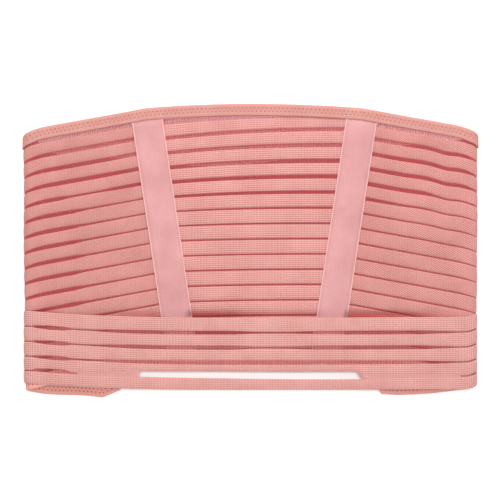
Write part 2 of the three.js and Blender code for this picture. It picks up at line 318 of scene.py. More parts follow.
    def beside_stay(self, side: Side, v: np.ndarray | float, past: float) -> np.ndarray:
        """Returns the loop coordinate of a line beside a stay's middle, at drop v."""
        return side.value * (self.stay_girth(side, v) + past) / self.fold_half

    def rib_height(self, c: np.ndarray, v: np.ndarray) -> np.ndarray:
        """Works out how high a rib line lies.

        The height is -v, less the arch's square law out to a stay, a straight slope from there
        round the fold, the corner's square law at the fold and a square law along the front.

        Args:
            c: Loop coordinate.
            v: Drop below the top edge.

        Returns:
            The height, zero at the top edge mid-back and negative below it.
        """
        sign = np.where(c < 0, -1.0, 1.0)
        q = np.abs(c)
        girth = np.abs(self.girth(c))
        seam = self.stay_girth(sign, v)
        down = v / self.panel_height
        past = np.clip(girth, seam, self.fold_half + self.fold_girth) - seam
        corner = clamp((girth - self.fold_half - self.fold_girth / 2) / self.corner_reach + 1) ** 2
        front = 1 - (1 - clamp(q - 2)) ** 2
        arch = mix(self.back_arch, self.back_arch_low, clamp(down / self.arch_share))
        flat = -v - arch * clamp(girth / seam) ** 2 - self.side_slope * past
        flat = flat - self.corner_drop * (1 - down) * corner - self.far_drop * front
        flat = flat - self.settling(girth, v) - self.ripple(c, v) - self.hang(c, v)
        return flat - self.front_slip(c, v)

    def behind_strap(self, v: np.ndarray) -> np.ndarray:
        """Returns 0 down to the strap's top edge, rising to 1 at the lowest gap."""
        return clamp((v - self.strap_down) / (self.panel_height - self.first_gap - self.strap_down))

    def settling(self, girth: np.ndarray, v: np.ndarray) -> np.ndarray:
        """Returns how far a rib line has settled below an even spacing.

        It grows in proportion to v down to the strap's top edge and is lost again behind the
        strap, but for the sag of the back's lower edge, a square law about mid-back.

        Args:
            girth: Length of cloth from mid-back.
            v: Drop below the top edge.

        Returns:
            The distance downwards.
        """
        behind = self.behind_strap(v)
        sag = self.back_sag * clamp(1 - (girth / self.sag_reach) ** 2)
        return self.rib_spread * clamp(v / self.strap_down) * (1 - behind) + sag * smooth(behind)

    def ripple(self, c: np.ndarray, v: np.ndarray) -> np.ndarray:
        """Works out how far a soft buckle beside the right fold pulls the upper ribs down.

        It is a bell curve along the loop less a flatter one beside it, faded in and out down the
        cloth.

        Args:
            c: Loop coordinate.
            v: Drop below the top edge.

        Returns:
            The distance downwards.
        """
        fade = smooth((v - self.buckle_start) / (self.buckle_full - self.buckle_start))
        fade = fade * smooth((self.buckle_end - v) / self.buckle_fade)
        down, rise = (size * bell(c, at, reach) for size, at, reach in (self.buckle, self.buckle_rise))
        return (down - rise) * fade

    def front_slip(self, c: np.ndarray, v: np.ndarray) -> np.ndarray:
        """Returns how far the front's upper ribs have slipped down, unevenly from side to side.

        Args:
            c: Loop coordinate.
            v: Drop below the top edge.

        Returns:
            The distance downwards, 0 on the back.
        """
        across = np.where(np.abs(c) > 2, 3 - np.abs(c), 1.0)
        left = eased(across, self.slip_across, self.slip_left)
        right = eased(across, self.slip_across, self.slip_right)
        return np.where(c < 0, left, right) * smooth(1 - v / self.panel_height / self.slip_share)

    def hang(self, c: np.ndarray, v: np.ndarray) -> np.ndarray:
        """Returns how far the lower edge hangs down round each fold and beside it.

        Args:
            c: Loop coordinate.
            v: Drop below the top edge.

        Returns:
            The distance downwards, by smooth steps along and down the cloth.
        """
        q = np.abs(c)
        rise = smooth((q - self.hang_start) / (1 - self.hang_start))
        left = self.hang_left * smooth((self.hang_left_end - q) / self.hang_fade_left)
        right = self.hang_right * smooth((self.hang_right_end - q) / self.hang_fade_right)
        low = smooth((v / self.panel_height - self.hang_share) / (1 - self.hang_share))
        return np.where(c < 0, left, right) * rise * low

    def back_lean(self, c: np.ndarray, v: np.ndarray) -> np.ndarray:
        """Returns how far a rib of the back stands above its line.

        The back's ribs rise to the right in proportion to the distance from a pivot, most near
        the top, and meet the line at the seams and at the lower edge.

        Args:
            c: Loop coordinate.
            v: Drop below the top edge.

        Returns:
            The distance upwards.
        """
        sign = np.where(c < 0, -1.0, 1.0)
        share = clamp(v / self.panel_height / self.lean_share)
        slope = mix(self.lean_top, self.lean_low, share) * smooth(v / self.lean_start)
        inside = clamp((self.stay_girth(sign, v) - np.abs(self.girth(c))) / self.seam_margin)
        return slope * (c * self.fold_half + self.lean_pivot) * inside * (1 - self.behind_strap(v))

    def dent(self, c: np.ndarray, y: np.ndarray) -> np.ndarray:
        """Returns how deep the back's cloth is drawn in just above and behind the strap's edge.

        Args:
            c: Loop coordinate.
            y: Height below the top edge mid-back.

        Returns:
            The depth inwards: a table along the loop times a smooth step on each side of the edge.
        """
        depth = eased(c, self.dent_stops, self.dent_depths)
        above = self.strap_down + y
        drawn = smooth(1 - above / self.dent_reach)
        drawn = drawn * smooth(1 + (above + self.dent_foot) / self.dent_back)
        return depth * drawn

    def taper_rise(self, c: np.ndarray) -> np.ndarray:
        """Returns how far the front's lower edge is cut away above its rib line.

        Args:
            c: Loop coordinate.

        Returns:
            The distance upwards, by straight lines between a few places.
        """
        across = np.where(np.abs(c) > 2, 3 - np.abs(c), 1.0)
        left = np.interp(across, self.taper_across, self.taper_left)
        right = np.interp(across, self.taper_across, self.taper_right)
        return self.front_rise * np.where(np.asarray(c) < 0, left, right)

    def lower_edge(self, c: np.ndarray) -> np.ndarray:
        """Returns the height of the loop's lower edge."""
        return self.rib_height(c, np.full_like(c, self.panel_height)) + self.taper_rise(c)

    def strap_level(self, y: np.ndarray, lead: float, length: float) -> np.ndarray:
        """Returns 1 at the strap's level and 0 well above it."""
        return smooth((lead + length - self.strap_down - y) / length)

    def cloth_point(
        self, c: np.ndarray, y: np.ndarray, out: np.ndarray, pinched: float | None = None
    ) -> np.ndarray:
        """Places a point on the folded loop.

        The cross-section is a flat oval: the back lies level and rises to the folds, each fold is
        a half circle and the front lies on the surface, or on the strap's ends.

        Args:
            c: Loop coordinate.
            y: Height below the top edge mid-back.
            out: Distance outwards from the middle of the cloth.
            pinched: Share by which the strap draws the folds in, by height where it is None.

        Returns:
            Points in metres, in an array with one more axis than the arguments.
        """
        c, y, out = np.broadcast_arrays(*(np.asarray(a, float) for a in (c, y, out)))
        side = np.where(c < 0, -1.0, 1.0)
        q = np.abs(c)
        level = self.strap_level(y, self.drape_lead, self.drape_length)
        if pinched is None:
            pinched = self.strap_level(y, self.squeeze_lead, self.squeeze_length)
        half = self.fold_half - self.strap_squeeze * pinched
        near = mix(self.near_middle, self.near_sides, smooth((q - self.flat_share) / (1 - self.flat_share)))
        across = np.where(q < 2, 1.0, 3 - q)
        start = self.strap_end_across - self.wing_climb_lead - self.wing_climb
        climb = (across - start) / self.wing_climb
        low = mix(self.low_rest, self.strap_rest, level * smooth(climb))
        radius = (self.near_sides - low) / 2
        angle = math.pi * clamp(q - 1)
        fold_x = half + (radius + out) * np.sin(angle)
        fold_z = self.near_sides - radius + (radius + out) * np.cos(angle)
        x = np.where(q <= 1, half * q, np.where(q >= 2, half * across, fold_x))
        z = np.where(q <= 1, near + out, np.where(q >= 2, low - out, fold_z))
        return np.stack([side * x, y + self.top_y, z], axis=-1) * MM


@dataclass
class MeshBuilder:
    """Collects closed tubes and boxes and makes one mesh of them."""

    name: str
    points: list[np.ndarray] = field(default_factory=list)
    quads: list[np.ndarray] = field(default_factory=list)
    uvs: list[np.ndarray] = field(default_factory=list)
    inner_shades: list[np.ndarray] = field(default_factory=list)
    count: int = 0

    def add(
        self, points: np.ndarray, quads: np.ndarray, uv: np.ndarray, inner: np.ndarray | float = 0.0
    ) -> None:
        """Adds vertices, four-sided faces, places on the cloth, and the share of painted inner shade.

        Args:
            points: Points, with their three axes last.
            quads: Numbers of each face's four points.
            uv: The points' places on the cloth, in millimetres.
            inner: share of the painted inner shade, 1 on the cloth's inner face and 0 elsewhere.
        """
        self.points.append(points.reshape(-1, 3))
        self.quads.append(quads.reshape(-1, 4) + self.count)
        self.uvs.append(uv.reshape(-1, 2))
        self.inner_shades.append(np.broadcast_to(inner, points.shape[:-1]).ravel())
        self.count += self.points[-1].shape[0]

    def add_tube(self, rings: np.ndarray, uv: np.ndarray, inner: np.ndarray | float = 0.0) -> None:
        """Adds a closed tube through rings of points, with its two ends capped.

        Args:
            rings: Points, as (ring, point round the ring, axis).
            uv: The points' places on the cloth, in millimetres.
            inner: share of the painted inner shade, 1 on the cloth's inner face and 0 elsewhere, for the
                points round a ring.
        """
        n, m = rings.shape[:2]
        i, j = np.meshgrid(np.arange(n - 1), np.arange(m), indexing="ij")
        here, there = i * m + j, i * m + (j + 1) % m
        sides = np.stack([here, there, there + m, here + m], axis=-1).reshape(-1, 4)
        k = np.arange(m // 2 - 1)
        cap = np.stack([k, m - 1 - k, m - 2 - k, k + 1], axis=-1)
        quads = np.concatenate([sides, cap, cap[:, ::-1] + (n - 1) * m])
        self.add(rings, self.outwards(rings.reshape(-1, 3), quads), uv, inner)

    def add_boxes(self, corners: np.ndarray, uv: np.ndarray) -> None:
        """Adds many small boxes at once, such as threads and stitches.

        Args:
            corners: Points, as (box, corner, axis): four corners of one end, then of the other.
            uv: The corners' places on the cloth, in millimetres.
        """
        box = np.array([[0, 1, 5, 4], [1, 2, 6, 5], [2, 3, 7, 6], [3, 0, 4, 7], [3, 2, 1, 0], [4, 5, 6, 7]])
        quads = self.outwards(corners[0], box)
        every = (np.arange(len(corners)) * 8)[:, None, None] + quads
        self.add(corners, every, uv)

    def add_threads(
        self,
        place: Callable[[np.ndarray, np.ndarray, np.ndarray], np.ndarray],
        start: np.ndarray,
        stop: np.ndarray,
        out: np.ndarray | float,
        width: float,
        thickness: float,
    ) -> None:
        """Adds short straight threads that lie on the cloth.

        Args:
            place: Turns places along and down the cloth and a distance outwards into points.
            start: Where each thread starts, as (thread, along and down).
            stop: Where each thread ends.
            out: Distance of a thread's middle outwards.
            width: Width of a thread in the cloth's plane.
            thickness: Its thickness outwards.
        """
        along = stop - start
        length = np.hypot(along[:, 0], along[:, 1])[:, None]
        square = np.stack([-along[:, 1], along[:, 0]], axis=1) / length * width / 2
        corners, spots = [], []
        for point in (start, stop):
            for across, up in ((-1, -1), (1, -1), (1, 1), (-1, 1)):
                spot = point + across * square
                corners.append(place(spot[:, 0], spot[:, 1], out + up * thickness / 2))
                spots.append(spot)
        self.add_boxes(np.stack(corners, axis=1), np.stack(spots, axis=1))

    @staticmethod
    def outwards(points: np.ndarray, quads: np.ndarray) -> np.ndarray:
        """Returns the faces, turned round if the volume that they enclose is negative.

        Args:
            points: Points of one closed mesh.
            quads: Its faces.

        Returns:
            The faces in the order that points them outwards.
        """
        a, b, c, d = (points[quads[:, k]] for k in range(4))
        first = np.einsum("ij,ij->i", a, np.cross(b, c)).sum()
        second = np.einsum("ij,ij->i", a, np.cross(c, d)).sum()
        return quads if first + second > 0 else quads[:, ::-1]

    def build(self, material: bpy.types.Material, smooth_faces: bool = True) -> bpy.types.Object:
        """Makes the object, at the origin with its place in its mesh.

        Args:
            material: The piece's material.
            smooth_faces: Whether faces are shaded smooth.

        Returns:
            The object.
        """
        points, quads = np.concatenate(self.points), np.concatenate(self.quads)
        mesh = bpy.data.meshes.new(self.name)
        mesh.vertices.add(len(points))
        mesh.vertices.foreach_set("co", points.astype(np.float32).ravel())
        mesh.loops.add(quads.size)
        mesh.loops.foreach_set("vertex_index", quads.astype(np.int32).ravel())
        mesh.polygons.add(len(quads))
        mesh.polygons.foreach_set("loop_start", np.arange(0, quads.size, 4, dtype=np.int32))
        mesh.polygons.foreach_set("use_smooth", np.full(len(quads), smooth_faces))
        layer = mesh.uv_layers.new(name=UV_NAME)
        layer.data.foreach_set("uv", np.concatenate(self.uvs)[quads.ravel()].astype(np.float32).ravel())
        inner = mesh.attributes.new(INNER_SHADE_NAME, "FLOAT", "POINT")
        inner.data.foreach_set("value", np.concatenate(self.inner_shades).astype(np.float32))
        mesh.update(calc_edges=True)
        mesh.validate()
        mesh.materials.append(material)
        LOG.info("%s: %d faces", self.name, len(quads))
        return hang_in_scene(self.name, mesh)


def linear(hex_colour: str) -> tuple[float, float, float, float]:
    """Returns an sRGB colour such as "e3a09a" as linear light with alpha 1."""
    parts = [int(hex_colour[i : i + 2], 16) / 255 for i in (0, 2, 4)]
    light = [p / 12.92 if p <= 0.04045 else ((p + 0.055) / 1.055) ** 2.4 for p in parts]
    return (*light, 1.0)


def add(
    tree: bpy.types.NodeTree, kind: str, inputs: dict | None = None, **settings: object
) -> bpy.types.Node:
    """Adds a node with its settings and links.

    Args:
        tree: The node tree.
        kind: The node's type.
        inputs: Values or output sockets, by input name or number.
        settings: Attributes of the node.

    Returns:
        The node.
    """
    node = tree.nodes.new(kind)
    for name, value in settings.items():
        setattr(node, name, value)
    for name, value in (inputs or {}).items():
        if isinstance(value, bpy.types.NodeSocket):
            tree.links.new(value, node.inputs[name])
        else:
            node.inputs[name].default_value = value
    return node


def sum_of(tree: bpy.types.NodeTree, *terms: tuple[bpy.types.NodeSocket, float]) -> bpy.types.NodeSocket:
    """Returns the weighted sum of some sockets as one socket."""
    total = add(tree, "ShaderNodeMath", {0: terms[0][0], 1: terms[0][1]}, operation="MULTIPLY").outputs[0]
    for socket, weight in terms[1:]:
        total = add(
            tree, "ShaderNodeMath", {0: socket, 1: weight, 2: total}, operation="MULTIPLY_ADD"
        ).outputs[0]
    return total


# Fine fuzz of the yarn, per metre, drawn about as coarse as a pixel of the view, and the soft
# unevenness of dyed cloth over a few centimetres
FUZZ_SCALE = 900.0
CLOUD_SCALE = 45.0
# How far red, green and blue light travel in dyed polyamide, as shares of a finish's length
THROUGH_COLOUR = (1.0, 0.28, 0.22)
# A needle hole: the share of a cosine along the seam and the distance from its row, in
# millimetres, at which it begins and is full, and its depth against the weave's relief
HOLE_ALONG = (0.35, 0.95)
HOLE_OFF_ROW = (0.8, 0.3)
HOLE_DEPTH = 1.6


@dataclass(frozen=True)
class ClothFinish:
    """A knitted or woven cloth, drawn in the cloth's own millimetres.

    Each wave is a sine over the cloth: wales run across a rib, courses run along it, and a twill
    runs at an angle to both. A pitch of 0 leaves a wave out. Stitches are taken as 0.5 to 0.8 mm
    apart, an assumed spacing and too fine to show where a pixel of the view is 0.86 mm, so they
    are drawn two or three times as coarse.
    """

    name: str
    light: str  # colour of the yarn's crowns
    dark: str  # colour between the yarns, painted shade in the weave's hollows
    inner: str = ""  # painted shade colour of the inner face, where it differs
    pit: str = "8a4038"  # painted shade in a needle hole
    wale_mm: float = 0.0
    course_mm: float = 0.0
    twill_mm: float = 0.0
    twill_slant: float = 1.0
    relief_mm: float = 0.12
    wale_share: float = 0.5
    course_share: float = 0.4
    twill_share: float = 0.4
    fuzz_share: float = 0.5
    cloud_share: float = 0.5
    roughness: float = 0.85
    specular: float = 0.25
    sheen: float = 0.15
    sheen_roughness: float = 0.5
    through: float = 0.35  # share of the light that scatters inside the yarns
    through_mm: float = 2.0
    pit_mm: float = 0.0  # spacing of needle holes, 0 for none
    pit_rows_mm: tuple[float, float] = (0.0, 0.0)

    def waves(
        self, tree: bpy.types.NodeTree, u: bpy.types.NodeSocket, v: bpy.types.NodeSocket
    ) -> list[tuple[bpy.types.NodeSocket, float]]:
        """Makes the cloth's waves, the sine of a weighted sum of the two places on it.

        Args:
            tree: The node tree.
            u: Place along the cloth, in millimetres.
            v: Place down the cloth.

        Returns:
            Each wave with its share of the relief.
        """
        pitches = (
            (self.wale_mm, 0.0, self.wale_share),
            (0.0, self.course_mm, self.course_share),
            (self.twill_mm, self.twill_mm * self.twill_slant, self.twill_share),
        )
        found = []
        for across, down, share in pitches:
            terms = [(place, 2 * math.pi / pitch) for place, pitch in ((u, across), (v, down)) if pitch]
            if terms:
                angle = sum_of(tree, *terms)
                sine = add(tree, "ShaderNodeMath", {0: angle}, operation="SINE").outputs[0]
                found.append((sine, share))
        return found

    def pits(
        self, tree: bpy.types.NodeTree, u: bpy.types.NodeSocket, v: bpy.types.NodeSocket
    ) -> bpy.types.NodeSocket:
        """Makes the needle holes of a zigzag stitch, two rows half a pitch apart.

        Args:
            tree: The node tree.
            u: Place along the cloth, in millimetres.
            v: Place down the cloth.

        Returns:
            1 in the holes and 0 elsewhere.
        """
        rows = []
        for number, row in enumerate(self.pit_rows_mm):
            phase = sum_of(tree, (u, 2 * math.pi / self.pit_mm))
            phase = add(tree, "ShaderNodeMath", {0: phase, 1: math.pi * number}, operation="ADD").outputs[0]
            along = add(tree, "ShaderNodeMath", {0: phase}, operation="COSINE").outputs[0]
            off = add(tree, "ShaderNodeMath", {0: v, 1: row}, operation="SUBTRACT").outputs[0]
            off = add(tree, "ShaderNodeMath", {0: off}, operation="ABSOLUTE").outputs[0]
            spot, band = (
                add(tree, "ShaderNodeMapRange", {"Value": x, "From Min": low, "From Max": high}).outputs[0]
                for x, (low, high) in ((along, HOLE_ALONG), (off, HOLE_OFF_ROW))
            )
            rows.append(add(tree, "ShaderNodeMath", {0: spot, 1: band}, operation="MULTIPLY").outputs[0])
        return add(tree, "ShaderNodeMath", {0: rows[0], 1: rows[1]}, operation="MAXIMUM").outputs[0]

    def material(self) -> bpy.types.Material:
        """Builds the material: a principled shader with the waves in its colour and its bump."""
        material = bpy.data.materials.new(self.name)
        material.use_nodes = True
        tree = material.node_tree
        tree.nodes.clear()
        cloth = add(tree, "ShaderNodeUVMap", uv_map=UV_NAME).outputs[0]
        u, v = add(tree, "ShaderNodeSeparateXYZ", {0: cloth}).outputs[:2]
        place = add(tree, "ShaderNodeTexCoord").outputs["Object"]
        fuzz, cloud = (
            add(tree, "ShaderNodeTexNoise", {"Vector": place, "Scale": scale, "Detail": 2.0}).outputs[0]
            for scale in (FUZZ_SCALE, CLOUD_SCALE)
        )
        height = sum_of(tree, (fuzz, self.fuzz_share), *self.waves(tree, u, v))
        # The colour follows the relief: the waves' hollows take the dark colour as painted shade, while the
        # fuzz and the slow cloud are the yarn's and the dyed cloth's own unevenness
        shade = sum_of(tree, (height, 0.5), (cloud, self.cloud_share))
        middle = self.fuzz_share / 4 + self.cloud_share / 2
        limits = {"Value": shade, "From Min": middle - 0.5, "From Max": middle + 0.5}
        crown = add(tree, "ShaderNodeMapRange", limits).outputs[0]
        layers = [(crown, self.light)]
        if self.pit_mm:
            pits = self.pits(tree, u, v)
            height = sum_of(tree, (height, 1.0), (pits, -HOLE_DEPTH))
            # Painted shade: the needle holes take the hole colour
            layers.append((pits, self.pit))
        # Painted shade: the inner colour is laid where the inner-shade attribute is set
        if self.inner:
            inside = add(tree, "ShaderNodeAttribute", attribute_name=INNER_SHADE_NAME).outputs["Fac"]
            layers.append((inside, self.inner))
        colour = linear(self.dark)
        for share, over in layers:
            mixed = {"Factor": share, 6: colour, 7: linear(over)}
            colour = add(tree, "ShaderNodeMix", mixed, data_type="RGBA").outputs[2]
        bump = add(tree, "ShaderNodeBump", {"Height": height, "Distance": self.relief_mm * MM}).outputs[0]
        shader = add(
            tree,
            "ShaderNodeBsdfPrincipled",
            {
                "Base Color": colour,
                "Roughness": self.roughness,
                "Normal": bump,
                "Specular IOR Level": self.specular,
                "Sheen Weight": self.sheen,
                "Sheen Roughness": self.sheen_roughness,
                "Sheen Tint": linear(self.light),
                "Subsurface Weight": self.through,
                "Subsurface Radius": THROUGH_COLOUR,
                "Subsurface Scale": self.through_mm * MM,
            },
        )
        add(tree, "ShaderNodeOutputMaterial", {"Surface": shader.outputs[0]})
        return material


# Painted shade: a deeper coral on the cloth's inner face, chosen because the open gaps look red; it stands
# in for the red shade inside the loop. The inner face, guessed as a deeper-dyed pile because the open gaps
# look red
INNER_SHADE_CORAL = "dc463e"

# Ribbed elastic of polyamide over rubber thread: matt, with fine wales across each rib.
RIBBED_BACK = ClothFinish(
    "ribbed_polyamide_elastic",
    light="dda49e",
    dark="b4756f",
    inner=INNER_SHADE_CORAL,
    wale_mm=1.3,
    course_mm=1.75,
    wale_share=0.7,
    course_share=0.5,
    relief_mm=0.2,
)
# The same elastic on the sides, drawn out round the hips, so that the wales lean into a fine twill.
RIBBED_SIDE = ClothFinish(
    "ribbed_polyamide_elastic_drawn",
    light="d59992",
    dark="a96c66",
    inner=INNER_SHADE_CORAL,
    wale_mm=1.3,
    twill_mm=2.1,
    twill_slant=0.8,
    twill_share=0.7,
    wale_share=0.3,
    fuzz_share=1.1,
    relief_mm=0.18,
)
# The strap's elastic, knitted with a deeper grid of wales and courses.
RIBBED_STRAP = ClothFinish(
    "ribbed_polyamide_elastic_strap",
    light="dca8a1",
    dark="b27770",
    wale_mm=1.3,
    course_mm=1.75,
    wale_share=0.75,
    course_share=0.4,
    relief_mm=0.18,
)
# The bare yarns of the ladder mesh, darker and redder than the ribs as painted shade: it stands in for the
# shade in the open gaps.
SHADED_LADDER_YARN = ClothFinish("ladder_polyamide_yarn", light="bd5053", dark="a5444a", sheen=0.1)
# Where the mesh is gathered its yarns lie side by side and look like the ribs.
GATHERED_YARN = ClothFinish("ladder_polyamide_yarn_gathered", light="d89a96", dark="c58380", sheen=0.1)
# Folded knitted binding, more orange and denser than the ribs, with a zigzag seam's needle holes.
BINDING = ClothFinish(
    "knitted_elastic_binding",
    light="c8948b",
    dark="b27870",
    wale_mm=1.1,
    course_mm=1.5,
    wale_share=0.3,
    course_share=0.2,
    relief_mm=0.1,
    pit_mm=3.5,
    pit_rows_mm=(3.9, 6.4),
)
# The same cloth on the lower edge, with a lighter colour as painted light: it lies in the strap's shade,
# and with the upper binding's colour it came out too dark.
BINDING_LIGHTENED = replace(BINDING, name="knitted_elastic_binding_lightened", light="e2a69b", dark="c9877d")
# Brushed cotton twill of the stay casings: pinker, smoother and with a soft sheen.
STAY_TWILL = ClothFinish(
    "brushed_cotton_twill",
    light="cd9897",
    dark="b57e7f",
    twill_mm=1.5,
    twill_slant=0.8,
    twill_share=0.4,
    fuzz_share=1.4,
    cloud_share=1.3,
    relief_mm=0.12,
    sheen=0.35,
    roughness=0.75,
)
# The tape's woven selvedge, paler because its yarns lie close and flat.
SELVEDGE = ClothFinish(
    "woven_tape_selvedge", light="e6b0ad", dark="d49a97", course_mm=1.3, course_share=0.5, roughness=0.7
)
# Hook-and-loop cloth of the hidden closure: a dense matt pile.
CLOSURE_PILE = ClothFinish(
    "hook_and_loop_pile", light="c98479", dark="ae685d", fuzz_share=1.2, relief_mm=0.25, roughness=0.95
)
# Twisted polyester sewing thread, slightly glossier than the cloth.
SEWING_THREAD = ClothFinish("polyester_sewing_thread", light="cf887d", dark="bb736a", roughness=0.55)


@dataclass(frozen=True)
class GapTable:
    """Widths of the gaps between ribs, in millimetres, in columns along the loop."""

    stops: tuple[float, ...]  # loop coordinates of the columns
    rows: tuple[tuple[float, ...], ...]  # a row for each gap, from the top

    def width(self, gap: int, c: np.ndarray) -> np.ndarray:
        """Returns the width of a gap at loop coordinate c."""
        return eased(c, self.stops, self.rows[gap])


# A row for each gap from the top. Columns: left front, round the left fold, left edge, left
# pinch, left side, beside the left stay, left and right of the back, beside the right stay,
# right side, right pinch, right edge, round the right fold, right front
PANEL_GAPS = GapTable(
    stops=(
        -2.08, -2.03, -1.05, -0.88, -0.82, -0.74, -0.55, -0.3, 0.3, 0.52, 0.78, 0.87, 0.96, 1.1,
        2.03, 2.08,
    ),
    rows=(
        (0.9, 2.2, 2.4, 3.2, 3.4, 3.5, 3.6, 3.2, 3.0, 3.4, 3.4, 3.2, 2.8, 1.8, 2.0, 0.9),
        (0.9, 2.2, 2.4, 2.8, 2.9, 2.9, 2.8, 2.6, 2.5, 2.7, 2.8, 2.6, 2.6, 1.8, 2.0, 0.9),
        (0.9, 2.2, 2.4, 2.9, 3.0, 2.9, 2.8, 2.8, 3.0, 2.8, 2.8, 2.6, 2.6, 1.8, 2.0, 0.9),
        (0.9, 2.2, 2.5, 3.0, 3.0, 3.1, 2.8, 2.9, 3.2, 2.9, 2.9, 2.6, 2.6, 1.8, 2.0, 0.9),
        (0.9, 2.2, 2.6, 2.8, 1.3, 1.0, 2.5, 2.7, 3.0, 3.2, 2.8, 1.1, 0.9, 1.2, 2.0, 0.9),
        (0.9, 2.2, 2.7, 2.9, 2.6, 1.0, 0.7, 2.1, 2.5, 2.6, 1.0, 0.6, 0.6, 0.6, 2.0, 0.9),
        (0.9, 2.2, 2.7, 2.9, 2.6, 1.0, 0.7, 1.1, 1.5, 1.2, 0.6, 0.6, 0.6, 0.6, 2.0, 0.9),
        (0.9, 2.2, 2.7, 2.9, 2.6, 1.0, 0.7, 0.9, 1.1, 1.0, 0.6, 0.6, 0.6, 0.6, 2.0, 0.9),
        (0.9, 2.2, 2.7, 2.8, 2.6, 1.0, 0.7, 0.9, 1.0, 1.0, 0.6, 0.6, 0.6, 0.6, 2.0, 0.9),
        (0.9, 2.2, 2.6, 2.7, 2.6, 1.0, 0.7, 0.9, 1.0, 0.9, 0.6, 0.6, 0.6, 0.6, 2.0, 0.9),
        (0.9, 2.2, 2.6, 2.5, 2.8, 1.2, 0.7, 0.9, 1.0, 0.9, 0.6, 0.6, 0.6, 0.6, 2.0, 0.9),
        (0.9, 2.2, 2.4, 2.4, 3.0, 1.3, 0.7, 0.9, 1.0, 0.9, 0.6, 0.6, 0.6, 0.6, 2.0, 0.9),
        (0.9, 2.2, 2.4, 2.4, 2.8, 1.8, 0.9, 0.9, 1.0, 0.9, 0.6, 0.6, 0.6, 0.6, 2.0, 0.9),
        (0.9, 2.2, 2.4, 2.4, 2.4, 1.8, 1.2, 1.1, 1.0, 1.2, 1.0, 0.6, 0.6, 0.6, 2.0, 0.9),
        (0.9, 2.0, 2.0, 2.0, 2.0, 2.0, 2.0, 2.0, 2.0, 2.0, 2.0, 2.0, 2.0, 2.0, 2.0, 0.9),
        (0.9, 2.0, 2.0, 2.0, 2.0, 2.0, 2.0, 2.0, 2.0, 2.0, 2.0, 2.0, 2.0, 2.0, 2.0, 0.9),
    ),
)

# A row for each gap from the top. Columns: left fold, left edge, left opening and its end, left
# pinch and its end, left of the slot, back, its pinch from left to right, right of the slot,
# right side, its end, right edge
STRAP_GAPS = GapTable(
    stops=(
        -1.04, -0.97, -0.93, -0.87, -0.82, -0.72, -0.63, -0.53, -0.1,
        0.05, 0.15, 0.33, 0.485, 0.535, 0.78, 0.9, 0.96,
    ),
    rows=(
        (0.6, 2.4, 3.3, 2.9, 0.8, 1.0, 2.4, 2.8, 2.9, 1.2, 1.0, 2.5, 2.9, 3.0, 2.9, 1.6, 0.7),
        (0.6, 2.2, 3.2, 3.0, 0.9, 1.0, 2.1, 2.8, 3.0, 1.3, 1.6, 2.8, 3.0, 3.0, 2.9, 1.6, 0.7),
        (0.6, 2.2, 3.2, 3.2, 1.0, 1.1, 2.1, 2.8, 3.3, 3.3, 3.3, 3.3, 3.2, 3.0, 2.7, 1.6, 0.7),
        (0.6, 2.2, 3.0, 3.0, 0.9, 1.0, 3.0, 5.2, 6.0, 6.2, 6.3, 6.6, 6.6, 2.8, 1.4, 1.0, 0.8),
    ),
)


@dataclass(frozen=True)
class Ladder:
    """The open ladder mesh: small flat yarns across a gap at every wale.

    The mesh is taken to have a yarn every half millimetre, an assumed spacing and too fine to show
    at the view's pixels, so it is drawn coarser.
    """

    pitch: float = 0.65
    width: float = 0.42
    thickness: float = 0.34
    lift: float = 0.1  # of the yarns off the middle of the cloth
    embedded: float = 0.6  # how far a yarn's ends run into the ribs
    unevenness: float = 0.08  # of a yarn's place along the gap
    slant: float = 0.15  # most that a yarn's ends are off its middle
    finish: ClothFinish = SHADED_LADDER_YARN

    def along(self, first: float, last: float, generator: np.random.Generator) -> np.ndarray:
        """Returns the yarns' places along a gap, at an even pitch with a slight unevenness.

        Args:
            first: Where the yarns start.
            last: Where they end.
            generator: Source of the unevenness.

        Returns:
            The length of cloth from mid-back to each yarn.
        """
        girth = np.arange(first, last, self.pitch)
        return girth + generator.uniform(-self.unevenness, self.unevenness, len(girth))

    def cross(
        self,
        builder: MeshBuilder,
        place: Callable[[np.ndarray, np.ndarray, np.ndarray], np.ndarray],
        girth: np.ndarray,
        middle: np.ndarray,
        gap: np.ndarray,
        lean: np.ndarray,
    ) -> None:
        """Adds yarns across one gap.

        Args:
            builder: What collects them.
            place: Turns places along and down the cloth and a distance outwards into points.
            girth: Where each yarn lies along the gap.
            middle: Drop of the gap's middle there.
            gap: Width of the gap there.
            lean: How far each end of a yarn is off its middle, along the gap.
        """
        half = gap / 2 + self.embedded
        start = np.stack([girth - lean, middle - half], axis=1)
        stop = np.stack([girth + lean, middle + half], axis=1)
        builder.add_threads(place, start, stop, self.lift, self.width, self.thickness)


@dataclass(frozen=True)
class RibSection:
    """The rounded section of a rib, bent inwards along its lower edge like a shingle."""

    thickness: float = 1.2
    points: int = 18
    edge: float = 0.38  # exponent of the superellipse: the lower, the squarer the edges
    crown: float = 0.14  # how far its middle stands out
    bend_share: float = 0.4  # share of the rib that bends inwards

    def spread(self) -> tuple[np.ndarray, np.ndarray]:
        """Works out a superellipse: signed powers of the cosine and the sine of even angles.

        Returns:
            The share across the rib and the share of the half thickness, round the section.
        """
        angle = (np.arange(self.points) + 0.5) * 2 * math.pi / self.points
        across, out = np.cos(angle), np.sin(angle)
        return (
            0.5 - 0.5 * np.sign(across) * np.abs(across) ** self.edge,
            np.sign(out) * np.abs(out) ** self.edge,
        )

    def out(self, tuck: np.ndarray | float) -> np.ndarray:
        """Works out the distance outwards round the section.

        It is the superellipse's half thickness and a low crown, less a square law over the share
        of the rib that bends inwards.

        Args:
            tuck: How far the lower edge is bent inwards.

        Returns:
            The distance from the cloth's middle, with the section along the last axis.
        """
        across, up = self.spread()
        crown = self.crown * (1 - (2 * across - 1) ** 2)
        bent = clamp((across - 1 + self.bend_share) / self.bend_share) ** 2
        return self.thickness / 2 * up + crown - np.asarray(tuck) * bent


